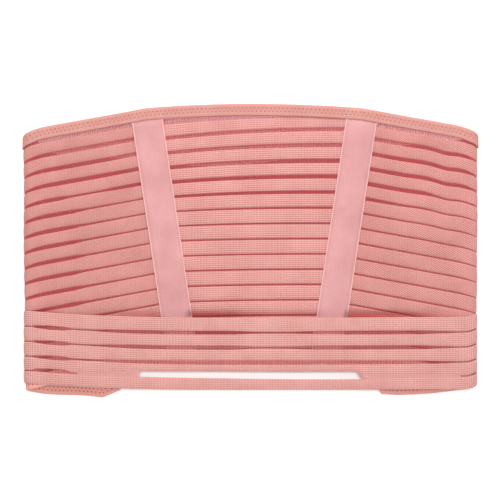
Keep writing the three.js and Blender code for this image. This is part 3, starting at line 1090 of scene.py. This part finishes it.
@dataclass
class Panel:
    """One of the belt's three ribbed panels, as ribs and the ladder mesh between them."""

    name: str
    node: str
    form: LoopForm
    side: Side | None
    finish: ClothFinish
    section: RibSection = RibSection()
    ladder: Ladder = Ladder()
    # How far the ribs' lower edges bend inwards, from mid-back to the fold
    tuck_stops: tuple[float, ...] = (0.0, 0.55, 0.8, 0.92, 1.02)
    tucks: tuple[float, ...] = (0.7, 0.8, 1.2, 1.2, 0.2)
    crevice_shade_share: float = 0.11  # of the inner colour per depth drawn in, a tint of painted shade in the crevice above the strap
    seam_gap: float = 0.15
    edge_inset: float = 1.3
    end_margin: float = 2.0
    least_rib: float = 1.2
    step: float = 2.0
    fold_rings: int = 17
    fold_clear: float = 0.003  # share of the length kept free of even stations beside a fold
    samples: int = 400  # places tried for a rib's end
    area_samples: int = 200
    seed: int = 7

    # Unevenness of the cloth: wave lengths along and down it, its depth, and how much deeper it
    # is on the sides, from and over which loop coordinates
    sway_lengths: tuple[float, float, float, float] = (17.0, 29.0, 21.0, 43.0)
    sway_depth: float = 0.12
    sway_deeper: float = 0.3
    sway_start: float = 0.6
    sway_rise: float = 0.3
    sway_end: float = 1.5

    def ends(self, v: np.ndarray | float) -> tuple[np.ndarray, np.ndarray]:
        """Returns the loop coordinates between which the panel lies, at drop v.

        Args:
            v: Drop below the top edge.

        Returns:
            The loop coordinates of its start at a seam and of its other end.
        """
        f = self.form
        if self.side is None:
            return tuple(f.beside_stay(s, v, -self.seam_gap) for s in Side)
        start = f.beside_stay(self.side, v, self.seam_gap)
        return start, self.side.value * f.wing_end * np.ones_like(start)

    def last_coordinate(self, v: float) -> float:
        """Returns where a rib ends: at the closure, or where the front's tapered edge cuts it.

        Args:
            v: Drop of the rib's upper edge.

        Returns:
            The loop coordinate.
        """
        f = self.form
        if self.side is None:
            return float(self.ends(np.float64(v))[1])
        c = self.side.value * np.linspace(2, f.wing_end, self.samples)
        clear = f.panel_height - f.taper_rise(c) - self.edge_inset - v > self.least_rib
        return float(c[clear][-1]) if clear.any() else float(c[0])

    def stations(self, v: float, last: float) -> np.ndarray:
        """Returns shares 0 to 1 of a rib's length, closer together round a fold.

        Args:
            v: Drop of the rib.
            last: Loop coordinate of its end.

        Returns:
            The shares, rising.
        """
        f = self.form
        start = float(f.girth(self.ends(np.float64(v))[0]))
        length = float(f.girth(np.float64(last))) - start
        even = np.linspace(0, 1, max(4, int(abs(length) / self.step)))
        if self.side is None:
            return even
        fold = (f.girth(self.side.value * np.linspace(1, 2, self.fold_rings)) - start) / length
        outside = even[(even < fold[0] - self.fold_clear) | (even > fold[-1] + self.fold_clear)]
        return np.sort(np.concatenate([outside, fold[fold < 1]]))

    def coordinate(self, share: np.ndarray, v: np.ndarray, last: float) -> np.ndarray:
        """Returns the loop coordinate at a share of the panel's length, at drop v.

        On a side panel the columns follow the stay's slant at the seam and stand upright where the
        back stops lying level.

        Args:
            share: Share of the length from its start.
            v: Drop below the top edge.
            last: Loop coordinate of the rib's end.

        Returns:
            The loop coordinate.
        """
        f = self.form
        start, end = self.ends(v)
        if self.side is None:
            return mix(start, end, share)
        middle = self.ends(np.float64(f.panel_height / 2))[0]
        even = f.loop_at(mix(f.girth(middle), f.girth(np.float64(last)), share))
        upright = clamp((f.flat_share - np.abs(even)) / (f.flat_share - np.abs(middle)))
        return even + (start - middle) * upright

    def edges(self, rib: int, c: np.ndarray) -> tuple[np.ndarray, np.ndarray]:
        """Returns the drops of a rib's two edges; the first and last ribs lie inside the hems.

        Args:
            rib: Number of the rib, from the top.
            c: Loop coordinate.

        Returns:
            The drops of its upper and its lower edge.
        """
        f = self.form
        top = np.full_like(c, self.edge_inset)
        bottom = np.full_like(c, f.panel_height - self.edge_inset)
        if rib > 0:
            top = f.gap_middles[rib - 1] + PANEL_GAPS.width(rib - 1, c) / 2
        if rib <= f.panel_ribs:
            bottom = f.gap_middles[rib] - PANEL_GAPS.width(rib, c) / 2
        return top, np.minimum(bottom, f.panel_height - f.taper_rise(c) - self.edge_inset)

    def place_along(self, girth: np.ndarray, v: np.ndarray, out: np.ndarray) -> np.ndarray:
        """Places points at a length of cloth from mid-back, drop v and a distance outwards."""
        return self.place(self.form.loop_at(girth), v, out)

    def place(self, c: np.ndarray, v: np.ndarray, out: np.ndarray) -> np.ndarray:
        """Places points of the panel at loop coordinate c, drop v and a distance outwards."""
        c, v = np.asarray(c, float), np.asarray(v, float)
        return self.form.cloth_point(c, self.height(c, v), out - self.drawn_in(c, v) - self.sway(c, v))

    def height(self, c: np.ndarray, v: np.ndarray) -> np.ndarray:
        """Returns how high the panel's cloth lies at loop coordinate c and drop v."""
        y = self.form.rib_height(c, v)
        return y + self.form.back_lean(c, v) if self.side is None else y

    def drawn_in(self, c: np.ndarray, v: np.ndarray) -> np.ndarray:
        """Returns how deep the back's cloth is drawn in above the strap."""
        return np.where(np.abs(c) < 1, self.form.dent(c, self.height(c, v)), 0.0)

    def sway(self, c: np.ndarray, v: np.ndarray) -> np.ndarray:
        """Returns the soft unevenness of the cloth inwards, a few slow waves that cross.

        Args:
            c: Loop coordinate.
            v: Drop below the top edge.

        Returns:
            The depth, the product of two sine waves.
        """
        girth = self.form.girth(c)
        a, b, d, e = self.sway_lengths
        waves = np.sin(girth / a + v / b) * np.sin(v / d - girth / e)
        side = smooth((np.abs(c) - self.sway_start) / self.sway_rise) * (np.abs(c) < self.sway_end)
        return (self.sway_depth + self.sway_deeper * side) * waves

    def ribs(self) -> bpy.types.Object:
        """Builds the ribs: the rounded, bent section swept along each."""
        f = self.form
        builder = MeshBuilder(self.name)
        across, up = self.section.spread()
        for rib in range(f.panel_ribs + 2):
            upper = self.edge_inset if rib == 0 else float(f.gap_middles[rib - 1]) + 1
            last = self.last_coordinate(upper)
            share = self.stations(upper, last)[:, None]
            middle = self.coordinate(share, np.full_like(share, upper), last)
            top, bottom = self.edges(rib, middle)
            v = mix(top, bottom, across)
            c = self.coordinate(share, v, last)
            tuck = (rib > 0) * eased(np.abs(middle), self.tuck_stops, self.tucks)
            spots = np.stack([f.girth(c), v], axis=-1)
            # Painted shade: the inner colour on each rib's inner face and, growing with the depth drawn in,
            # on the back's cloth above the strap
            painted_inner_shade = np.maximum(smooth(-2 * up), clamp(self.crevice_shade_share * self.drawn_in(c, v)))
            builder.add_tube(self.place(c, v, self.section.out(tuck)), spots, painted_inner_shade)
        return builder.build(self.finish.material())

    def mesh(self) -> bpy.types.Object:
        """Builds the ladder mesh across each gap."""
        f = self.form
        builder = MeshBuilder(f"{self.name}_ladder")
        generator = np.random.default_rng(self.seed)
        for gap, middle in enumerate(f.gap_middles):
            start = float(f.girth(self.ends(np.float64(middle))[0]))
            stop = float(f.girth(np.float64(self.last_coordinate(middle + self.least_rib))))
            first, last = sorted((start, stop))
            girth = self.ladder.along(first + self.end_margin, last - self.end_margin, generator)
            lean = generator.uniform(-self.ladder.slant, self.ladder.slant, len(girth))
            width = PANEL_GAPS.width(gap, f.loop_at(girth))
            drop = np.full_like(girth, middle)
            self.ladder.cross(builder, self.place_along, girth, drop, width, lean)
        return builder.build(self.ladder.finish.material(), smooth_faces=False)

    def flat_size(self) -> tuple[tuple[float, float], float]:
        """Returns the width and height of the cloth's cut, and its area, in metres."""
        f = self.form
        start, end = self.ends(np.linspace(0, f.panel_height, self.area_samples))
        width = np.abs(f.girth(end) - f.girth(start))
        area = width.mean() * f.panel_height
        if self.side is not None:
            wing = self.side.value * np.linspace(2, f.wing_end, self.area_samples)
            area -= f.taper_rise(wing).mean() * f.fold_half
        return (width.max() * MM, f.panel_height * MM), area * MM * MM

    def make(self, rests_on: list[str]) -> list[bpy.types.Object]:
        """Makes the panel and returns its pieces."""
        ribs, mesh = self.ribs(), self.mesh()
        flat, area = self.flat_size()
        dress([ribs, mesh], Slot.RIBBED, self.node)
        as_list(rests_on)
        return [ribs, mesh]


@dataclass
class Hem:
    """A folded binding round one edge of the loop, with its zigzag seam."""

    name: str
    node: str
    form: LoopForm
    upper: bool
    finish: ClothFinish
    wall: float = 1.0
    step: float = 1.6
    stitch: float = 3.5
    stitch_rows: tuple[float, float] = (3.9, 6.4)
    thread: float = 0.34
    tape_lift: float = 0.75  # of the binding over a stay tape's end
    tape_lift_depth: float = 4.0
    tape_fade: float = 1.8
    end_margin: float = 3.0
    slope_reach: float = 2.0  # over which the edge's slope is taken
    flange_depths: tuple[float, ...] = (8.4, 7.2, 6.2, 5.2, 4.2, 3.2, 2.4)
    furrow: float = 0.2  # depth of the furrow along the seam
    furrow_width: float = 1.7
    lip: float = 0.25  # rounding of the lips, along and through the wall
    lip_through: float = 0.3
    inner_depth: float = 5.0

    def edge(self, c: np.ndarray) -> np.ndarray:
        """Returns the height of the loop's edge that the hem binds."""
        if self.upper:
            return self.form.rib_height(c, np.zeros_like(c))
        return self.form.lower_edge(c)

    def lift(self, c: np.ndarray) -> np.ndarray:
        """Returns how far the binding stands out over the ends of the stay tapes.

        Args:
            c: Loop coordinate.

        Returns:
            The distance outwards, a smooth step at each side of a tape.
        """
        f = self.form
        v = f.hem_height / 2 if self.upper else f.panel_height - f.hem_height / 2
        total = np.zeros_like(c)
        for side in Side:
            away = np.abs(f.girth(c) - side.value * f.stay_girth(side, v))
            total = total + smooth((f.stay_width / 2 + self.tape_fade - away) / self.tape_fade)
        return self.tape_lift * total

    def place(self, girth: np.ndarray, depth: np.ndarray, out: np.ndarray | float) -> np.ndarray:
        """Places points of the binding at a depth in from the loop's edge, square to that edge.

        Args:
            girth: Length of cloth from mid-back.
            depth: Depth in from the edge.
            out: Distance outwards from the middle of the cloth.

        Returns:
            Points in metres.
        """
        f = self.form
        c = f.loop_at(girth)
        before, after = (self.edge(f.loop_at(girth + s * self.slope_reach)) for s in (-1, 1))
        slant = np.hypot(1, (after - before) / (2 * self.slope_reach))
        inward = -1.0 if self.upper else 1.0
        rise = self.lift(c) * smooth(depth / self.tape_lift_depth)
        lifted = out + np.where(np.asarray(out) > 0, rise, 0.0)
        return f.cloth_point(c, self.edge(c) + inward * depth * slant, lifted)

    def profile(self) -> tuple[np.ndarray, np.ndarray]:
        """The binding's section, a U of even wall round the edge with rounded lips.

        The walls are level but for a shallow furrow along the seam, and the turn is half a circle.

        Returns:
            Depth in from the edge and distance out from the cloth's middle, round the section.
        """
        outer, inner, end = self.form.hem_out, self.form.hem_out - self.wall, self.form.hem_height
        turn = np.linspace(math.pi / 2, -math.pi / 2, 9)
        flange = np.array([end - self.lip, *self.flange_depths])
        walls = outer - self.furrow * bell(flange, sum(self.stitch_rows) / 2, self.furrow_width)
        inside = np.array([end - self.lip, self.inner_depth])
        round_lip = np.array([inner + self.lip_through, outer - self.lip_through])
        depth = np.concatenate([
            flange, outer - outer * np.cos(turn), flange[::-1], [end, end],
            inside, outer - inner * np.cos(turn), inside[::-1], [end, end],
        ])
        out = np.concatenate([
            walls, outer * np.sin(turn), -walls[::-1], -round_lip[::-1],
            [-inner, -inner], -inner * np.sin(turn), [inner, inner], round_lip,
        ])
        return depth, out

    def binding(self) -> bpy.types.Object:
        """Builds the binding: its section carried round the whole loop."""
        f = self.form
        end = float(f.girth(np.float64(f.wing_end)))
        stations = np.linspace(-end, end, int(2 * end / self.step))[:, None]
        girth, depth, out = np.broadcast_arrays(stations, *self.profile())
        builder = MeshBuilder(self.name)
        builder.add_tube(self.place(girth, depth, out), np.stack([girth, depth], axis=-1))
        return builder.build(self.finish.material())

    def zigzag(self) -> bpy.types.Object:
        """Builds the zigzag seam: a short thread from each needle hole to the next."""
        f = self.form
        end = float(f.girth(np.float64(f.wing_end))) - self.end_margin
        most = int(end / self.stitch * 2)
        number = np.arange(-most, most + 1)
        spots = np.stack([number * self.stitch / 2, np.take(self.stitch_rows, number % 2)], axis=1)
        builder = MeshBuilder(f"{self.name}_zigzag")
        out = f.hem_out - self.thread / 2
        builder.add_threads(self.place, spots[:-1], spots[1:], out, self.thread, self.thread)
        return builder.build(SEWING_THREAD.material(), smooth_faces=False)

    def make(self, rests_on: list[str]) -> list[bpy.types.Object]:
        """Makes the hem and returns its pieces."""
        f = self.form
        binding, zigzag = self.binding(), self.zigzag()
        dress([binding, zigzag], Slot.BINDING, self.node)
        length = 2 * float(f.girth(np.float64(f.wing_end)))
        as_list(rests_on)
        return [binding, zigzag]


@dataclass
class StayTape:
    """A padded casing tape over one of the back's seams, with its selvedges and stitching."""

    name: str
    node: str
    form: LoopForm
    side: Side
    width: float = 26.4
    thickness: float = 1.9
    edge_thickness: float = 1.1
    end_thickness: float = 0.6
    stitch_share: float = 0.85  # of the half width, where the stitch lines run
    stitch_length: float = 1.7
    stitch_pitch: float = 2.9
    thread: float = 0.4
    groove: float = 0.3  # depth of the groove along a stitch line
    groove_share: float = 0.04
    crown_power: int = 5
    thin_margin: float = 0.4  # from a hem's lip to where the tape thins
    thin_length: float = 2.5
    clearance: float = 0.25  # between the tape and the panels
    selvedge: float = 0.9
    selvedge_lift: float = 0.1
    selvedge_inset: float = 1.0
    selvedge_fade: float = 1.5
    stitch_inset: float = 3.0
    end_drop: float = 5.0
    rings: int = 110
    columns: int = 41

    def top(self, a: np.ndarray, v: np.ndarray) -> np.ndarray:
        """Returns the tape's outer face above its inner one.

        The face is a flat crown with a groove at each stitch line, and it thins where its ends go
        under the hems.

        Args:
            a: Place across the tape, -1 to 1.
            v: Drop below the top edge.

        Returns:
            The height.
        """
        f = self.form
        crown = mix(self.thickness, self.edge_thickness, np.abs(a) ** self.crown_power)
        groove = self.groove * bell(np.abs(a), self.stitch_share, self.groove_share)
        row = f.hem_height + self.thin_margin
        full = smooth((v - row) / self.thin_length)
        full = full * smooth((f.panel_height - row - v) / self.thin_length)
        return mix(self.end_thickness, crown - groove, full)

    def place(self, a: np.ndarray, v: np.ndarray, above: np.ndarray) -> np.ndarray:
        """Places points at a place across the tape, a drop and a height above its inner face."""
        f = self.form
        c = f.beside_stay(self.side, v, a * self.width / 2)
        y = f.rib_height(c, v)
        return f.cloth_point(c, y, f.skin + self.clearance + above - f.dent(c, y))

    def tape(self) -> bpy.types.Object:
        """Builds the tape: its crowned section carried down the seam."""
        f = self.form
        v = np.linspace(self.end_drop, f.panel_height - self.end_drop, self.rings)[:, None]
        a = np.sin(np.linspace(-math.pi / 2, math.pi / 2, self.columns))
        under = a[1:-1][::-1]
        faces = self.place(a, v, self.top(a, v)), self.place(under, v, 0 * (under + v))
        rings = np.concatenate(faces, axis=1)
        across = np.concatenate([a, under]) * self.width / 2
        builder = MeshBuilder(self.name)
        builder.add_tube(rings, np.stack(np.broadcast_arrays(across, v), axis=-1))
        return builder.build(STAY_TWILL.material())

    def selvedges(self) -> bpy.types.Object:
        """Builds the two selvedges: a thin rounded strip along each edge of the tape."""
        f = self.form
        start = f.hem_height - self.selvedge_inset
        v = np.linspace(start, f.panel_height - start, self.rings)[:, None]
        section = RibSection(thickness=0.45, points=10, edge=0.7, crown=0.0)
        across, _ = section.spread()
        builder = MeshBuilder(f"{self.name}_selvedges")
        share = 2 * self.selvedge / self.width
        above = self.edge_thickness + self.selvedge_lift + section.out(0.0)
        for inside in (v - start, f.panel_height - start - v):
            above = above * smooth(inside / self.selvedge_fade + self.thin_margin)
        for edge in Side:
            a = edge.value * (1 - share * across)
            uv = np.broadcast_arrays(a * self.width / 2, v)
            builder.add_tube(self.place(a, v, above), np.stack(uv, axis=-1))
        return builder.build(SELVEDGE.material())

    def stitches(self) -> bpy.types.Object:
        """Builds the two lines of straight stitches."""
        f = self.form
        start = f.hem_height + self.stitch_inset
        v = np.arange(start, f.panel_height - start, self.stitch_pitch)
        builder = MeshBuilder(f"{self.name}_stitches")
        for edge in Side:
            line = np.full_like(v, edge.value * self.stitch_share)
            above = float(self.top(line, v).mean()) + self.thread * 0.1
            builder.add_threads(
                self.place,
                np.stack([line, v], axis=1),
                np.stack([line, v + self.stitch_length], axis=1),
                above,
                2 * self.thread / self.width,
                self.thread,
            )
        return builder.build(SEWING_THREAD.material(), smooth_faces=False)

    def make(self, rests_on: list[str]) -> list[bpy.types.Object]:
        """Makes the tape and returns its pieces."""
        tape, selvedges, stitches = self.tape(), self.selvedges(), self.stitches()
        dress([tape, selvedges, stitches], Slot.TAPE, self.node)
        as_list(rests_on)
        return [tape, selvedges, stitches]


@dataclass
class LowerStrap:
    """The five-rib strap round the outside of the loop's lower third."""

    name: str
    node: str
    form: LoopForm
    ribs: int = 5
    rib_gap: float = 2.2
    rise_left: float = 5.6
    rise_left_power: float = 3.0
    rise_right: float = 0.7
    rise_right_end: float = 2.5  # further rise round the right fold
    rise_right_start: float = 0.92
    rise_right_length: float = 0.5
    line_drop: float = 1.4  # how far the upper gaps lie below an even spacing
    slot_left: float = -0.513  # loop coordinates between which the lowest gap stands open
    slot_right: float = 0.503
    gather_left: float = -0.8  # loop coordinates between which its mesh is gathered
    gather_right: float = 0.97
    lean_left: float = -0.8  # slant of the slot's ends
    lean_right: float = 2.4
    rib5_drop_left: float = 0.3  # how far the rib below the slot hangs below its line
    rib5_drop_right: float = 1.7
    rib5_start: float = -0.5  # loop coordinate from which its drop grows, and over which length
    rib5_length: float = 0.9
    rib5_end: float = 0.85
    rib5_fade: float = 0.3
    section: RibSection = RibSection(thickness=1.25)
    ladder: Ladder = Ladder(pitch=1.3, width=0.6, slant=0.12)
    gathered: Ladder = Ladder(width=0.6, lift=0.2, finish=GATHERED_YARN)
    tuck: float = 0.45
    step: float = 1.6
    fold_rings: int = 21
    fold_clear: float = 0.5
    end_margin: float = 4.0
    slant_left: float = 6.0  # how far from the slot's ends the yarns slant
    slant_right: float = 8.0
    mesh_seed: int = 11
    gather_seed: int = 12

    # How far its middle stands off the middle of the panel's cloth, along the loop
    clear_stops: tuple[float, ...] = (0.0, 0.08, 0.33, 0.5, 0.8, 1.0)
    clear_values: tuple[float, ...] = (3.6, 3.4, 4.0, 3.8, 3.2, 3.0)

    @property
    def end(self) -> float:
        """Loop coordinate of the strap's sewn ends."""
        return 3 - self.form.strap_end_across

    @property
    def height(self) -> float:
        """Height of the strap."""
        return self.ribs * self.form.rib_pitch - self.rib_gap

    def top(self, c: np.ndarray) -> np.ndarray:
        """Returns the height of the strap's top edge, which rises towards both folds.

        Args:
            c: Loop coordinate.

        Returns:
            The height, negative below the top edge mid-back.
        """
        q = np.abs(c)
        left = self.rise_left * clamp(q) ** self.rise_left_power
        right = self.rise_right * clamp(q) ** 2 + self.rise_right_end * smooth(
            (q - self.rise_right_start) / self.rise_right_length
        )
        return np.where(c < 0, left, right) - self.form.strap_down

    def edges(self, rib: int, c: np.ndarray) -> tuple[np.ndarray, np.ndarray]:
        """Returns how far below the strap's top edge a rib's two edges lie.

        Args:
            rib: Number of the rib, from the top.
            c: Loop coordinate.

        Returns:
            The two distances below the strap's top edge.
        """
        top, bottom = np.zeros_like(c), np.full_like(c, self.height)
        if rib > 0:
            top = self.gap(rib - 1, c)[1]
        if rib < self.ribs - 1:
            bottom = self.gap(rib, c)[0]
        return top, bottom

    def gap(self, gap: int, c: np.ndarray) -> tuple[np.ndarray, np.ndarray]:
        """Returns how far below the strap's top edge a gap's two sides lie.

        Each gap is centred on its line, but the lowest opens upwards only, and the rib below it
        hangs a little lower to the right.

        Args:
            gap: Number of the gap, from the top.
            c: Loop coordinate.

        Returns:
            The two distances below the strap's top edge.
        """
        line = (gap + 1) * self.form.rib_pitch - self.rib_gap / 2
        width = STRAP_GAPS.width(gap, c)
        if gap < self.ribs - 2:
            line += self.line_drop
            return line - width / 2, line + width / 2
        grown = smooth((c - self.rib5_start) / self.rib5_length)
        hang = mix(self.rib5_drop_left, self.rib5_drop_right, grown)
        low = line + self.rib_gap / 2 + hang * smooth((self.rib5_end - np.abs(c)) / self.rib5_fade)
        return low - width, low

    def place(self, girth: np.ndarray, down: np.ndarray, out: np.ndarray) -> np.ndarray:
        """Places points at a length along the strap, a drop from its top edge and a distance out.

        Args:
            girth: Length of cloth from mid-back.
            down: Drop from the strap's top edge.
            out: Distance outwards from the middle of its cloth.

        Returns:
            Points in metres.
        """
        f = self.form
        c = f.loop_at(girth)
        clear = eased(np.abs(c), self.clear_stops, self.clear_values)
        return f.cloth_point(c, self.top(c) - down, clear + out, pinched=1.0)

    def cloth(self) -> bpy.types.Object:
        """Builds the strap's ribs: the rounded section swept along each."""
        f = self.form
        builder = MeshBuilder(self.name)
        across, _ = self.section.spread()
        end = float(f.girth(np.float64(self.end)))
        even = np.linspace(-end, end, int(2 * end / self.step))
        fold = float(f.girth(np.float64(1.0))) + np.linspace(0, f.fold_girth, self.fold_rings)
        before, after = fold[0] - self.fold_clear, fold[-1] + self.fold_clear
        straight = even[(np.abs(even) < before) | (np.abs(even) > after)]
        girth = np.sort(np.concatenate([straight, fold, -fold]))[:, None]
        for rib in range(self.ribs):
            top, bottom = self.edges(rib, f.loop_at(girth))
            down = mix(top, bottom, across)
            along = girth + 0 * down
            out = self.section.out(self.tuck) + 0 * down
            builder.add_tube(self.place(along, down, out), np.stack([along, down], axis=-1))
        return builder.build(RIBBED_STRAP.material())

    def mesh(self) -> bpy.types.Object:
        """Builds the strap's ladder mesh, which leaves out the gathered part of the lowest gap."""
        f = self.form
        builder = MeshBuilder(f"{self.name}_ladder")
        generator = np.random.default_rng(self.mesh_seed)
        end = float(f.girth(np.float64(self.end))) - self.end_margin
        for gap in range(self.ribs - 1):
            girth = self.ladder.along(-end, end, generator)
            if gap == self.ribs - 2:
                c = f.loop_at(girth)
                girth = girth[(c < self.gather_left) | (c > self.gather_right)]
            lean = generator.uniform(-self.ladder.slant, self.ladder.slant, len(girth))
            high, low = self.gap(gap, f.loop_at(girth))
            self.ladder.cross(builder, self.place, girth, (high + low) / 2, low - high, lean)
        return builder.build(self.ladder.finish.material(), smooth_faces=False)

    def gathers(self) -> bpy.types.Object:
        """Builds the lowest gap's mesh, gathered close on both sides of the slot's slanted ends."""
        f = self.form
        builder = MeshBuilder(f"{self.name}_gathers")
        generator = np.random.default_rng(self.gather_seed)
        first, left, right, last = f.fold_half * np.array(
            [self.gather_left, self.slot_left, self.slot_right, self.gather_right]
        )
        girth = self.gathered.along(first, last, generator)
        girth = girth[(girth < left) | (girth > right)]
        lean = self.lean_left * bell(girth, left, self.slant_left)
        lean = lean + self.lean_right * bell(girth, right, self.slant_right)
        high, low = self.gap(self.ribs - 2, f.loop_at(girth))
        self.gathered.cross(builder, self.place, girth, (high + low) / 2, low - high, lean)
        return builder.build(self.gathered.finish.material(), smooth_faces=False)

    def make(self, rests_on: list[str]) -> list[bpy.types.Object]:
        """Makes the strap and returns its pieces."""
        cloth, mesh, gathers = self.cloth(), self.mesh(), self.gathers()
        dress([cloth, mesh, gathers], Slot.RIBBED, self.node)
        length = 2 * float(self.form.girth(np.float64(self.end)))
        flat = (length * MM, self.height * MM)
        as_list(rests_on)
        return [cloth, mesh, gathers]


@dataclass
class ClosureStrip:
    """The plain strip that joins the two wings on the hidden side."""

    name: str
    node: str
    form: LoopForm
    width: float = 60.0
    thickness: float = 1.0
    rings: int = 60
    hem_margin: float = 0.6
    clearance: float = 0.3
    section_points: int = 40
    section_edge: float = 0.25

    def make(self, rests_on: list[str]) -> list[bpy.types.Object]:
        """Makes the strip and returns its pieces."""
        f = self.form
        inset = f.hem_height + self.hem_margin
        both = np.array([-3.0, 3.0])
        top = float(f.rib_height(both, np.zeros(2)).min()) - inset
        bottom = float(f.lower_edge(both).max()) + inset
        section = RibSection(self.thickness, self.section_points, self.section_edge, crown=0.0)
        across, _ = section.spread()
        rows = np.linspace(top, bottom, self.rings)[:, None]
        x, y = np.broadcast_arrays(mix(-self.width / 2, self.width / 2, across), rows)
        c = np.sign(x) * (3 - np.abs(x) / f.fold_half)
        out = f.skin + self.clearance + self.thickness / 2 + section.out(0.0)
        builder = MeshBuilder(self.name)
        builder.add_tube(f.cloth_point(c, y, out), np.stack([x, y], axis=-1))
        strip = builder.build(CLOSURE_PILE.material())
        dress([strip], Slot.CLOSURE, self.node)
        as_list(rests_on)
        return [strip]


@dataclass(frozen=True)
class Lamp:
    """A round soft lamp that shines at the middle of the floor."""

    name: str
    power: float
    size: float
    place: tuple[float, float, float]

    def hang(self) -> bpy.types.Object:
        """Makes the lamp and turns it to the middle of the floor."""
        light = bpy.data.lights.new(self.name, "AREA")
        light.shape, light.size, light.energy = "DISK", self.size, self.power
        lamp = hang_in_scene(self.name, light)
        x, y, z = self.place
        lamp.location = self.place
        lamp.rotation_euler = (math.atan2(math.hypot(x, y), z), 0, math.atan2(x, -y))
        return lamp


@dataclass
class Studio:
    """The plain floor, the soft lights and the camera that looks straight down."""

    floor_size: float = 6.0
    floor_gap: float = 0.1
    paper_tooth: float = 0.02
    floor_colour: str = "fbfafa"
    pixel_mm: float = 0.86
    frame_pixels: int = 500
    lens: float = 135.0
    sensor: float = 36.0
    cloth_z: float = 15.0
    centre: tuple[float, float] = (-0.43, 0.86)
    world_strength: float = 0.6
    lamps: tuple[Lamp, ...] = (
        Lamp("overhead_softbox", 25.0, 0.35, (0.0, 0.1, 2.0)),
        Lamp("window_side_softbox", 9.0, 0.7, (0.1, 0.95, 0.75)),
    )

    def floor(self) -> None:
        """Lays the floor, a matt pale sheet just below the belt."""
        half, below = self.floor_size / 2, -self.floor_gap * MM
        mesh = bpy.data.meshes.new("floor")
        corners = [(x * half, y * half, below) for x, y in ((-1, -1), (1, -1), (1, 1), (-1, 1))]
        mesh.from_pydata(corners, [], [(0, 1, 2, 3)])
        # Matt white photographic paper: no gloss, a very fine tooth
        material = bpy.data.materials.new("matt_white_paper")
        material.use_nodes = True
        tree = material.node_tree
        tree.nodes.clear()
        place = add(tree, "ShaderNodeTexCoord").outputs["Object"]
        grain = add(tree, "ShaderNodeTexNoise", {"Vector": place, "Scale": FUZZ_SCALE}).outputs[0]
        bump = add(tree, "ShaderNodeBump", {"Height": grain, "Distance": self.paper_tooth * MM}).outputs[0]
        colour = linear(self.floor_colour)
        shader = add(
            tree,
            "ShaderNodeBsdfPrincipled",
            {"Base Color": colour, "Roughness": 0.9, "Normal": bump, "Specular IOR Level": 0.1},
        )
        add(tree, "ShaderNodeOutputMaterial", {"Surface": shader.outputs[0]})
        mesh.materials.append(material)
        hang_in_scene("floor", mesh)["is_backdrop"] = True

    def lights(self) -> None:
        """Hangs the lights: an even white surround, a lamp overhead and one past the top edge."""
        world = bpy.data.worlds.new("studio")
        world.use_nodes = True
        tree = world.node_tree
        tree.nodes.clear()
        white = {"Color": linear("ffffff"), "Strength": self.world_strength}
        sky = add(tree, "ShaderNodeBackground", white)
        add(tree, "ShaderNodeOutputWorld", {"Surface": sky.outputs[0]})
        bpy.context.scene.world = world
        for lamp in self.lamps:
            lamp.hang()

    def camera(self) -> None:
        """Sets the camera straight above, so that a pixel is the given size at the cloth."""
        data = bpy.data.cameras.new("camera")
        data.lens, data.sensor_width, data.clip_end = self.lens, self.sensor, 20.0
        away = self.pixel_mm * self.frame_pixels * self.lens / self.sensor
        camera = hang_in_scene("camera", data)
        camera.location = (self.centre[0] * MM, self.centre[1] * MM, (away + self.cloth_z) * MM)
        bpy.context.scene.camera = camera

    def make(self) -> None:
        """Makes the floor, the lights and the camera."""
        self.camera()
        self.floor()
        self.lights()
        bpy.context.scene.view_settings.view_transform = "Standard"


def corners_of(bounds: tuple) -> list[list[float]]:
    """Returns a box's two corners as plain lists of numbers."""
    return [[float(x) for x in corner] for corner in bounds]


def main() -> None:
    """Builds the belt's pieces in order, dresses them and reports each."""
    logging.basicConfig(level=logging.INFO, format="%(name)s: %(message)s")
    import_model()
    box = corners_of(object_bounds())
    form = LoopForm(top_y=box[1][1] / MM)
    Studio().make()
    back, left, right = "back_panel_ribs", "left_side_ribs", "right_side_ribs"
    parts = [
        (Panel(back, "back_panel", form, None, RIBBED_BACK), ["floor"]),
        (Panel(left, "left_side_panel", form, Side.LEFT, RIBBED_SIDE), ["floor"]),
        (Panel(right, "right_side_panel", form, Side.RIGHT, RIBBED_SIDE), ["floor"]),
        (Hem("top_binding", "top_hem", form, True, BINDING), ["floor"]),
        (Hem("bottom_binding", "bottom_hem", form, False, BINDING_LIGHTENED), ["floor"]),
        (StayTape("left_tape", "left_stay_tape", form, Side.LEFT), [back, left]),
        (StayTape("right_tape", "right_stay_tape", form, Side.RIGHT), [back, right]),
        (LowerStrap("strap_ribs", "lower_strap", form), [back]),
        (ClosureStrip("closure_patch", "closure_strip", form), ["floor"]),
    ]
    for part, rests_on in parts:
        for piece in part.make(rests_on):
            LOG.info("made %s", piece.name)


if __name__ == "__main__":
    main()
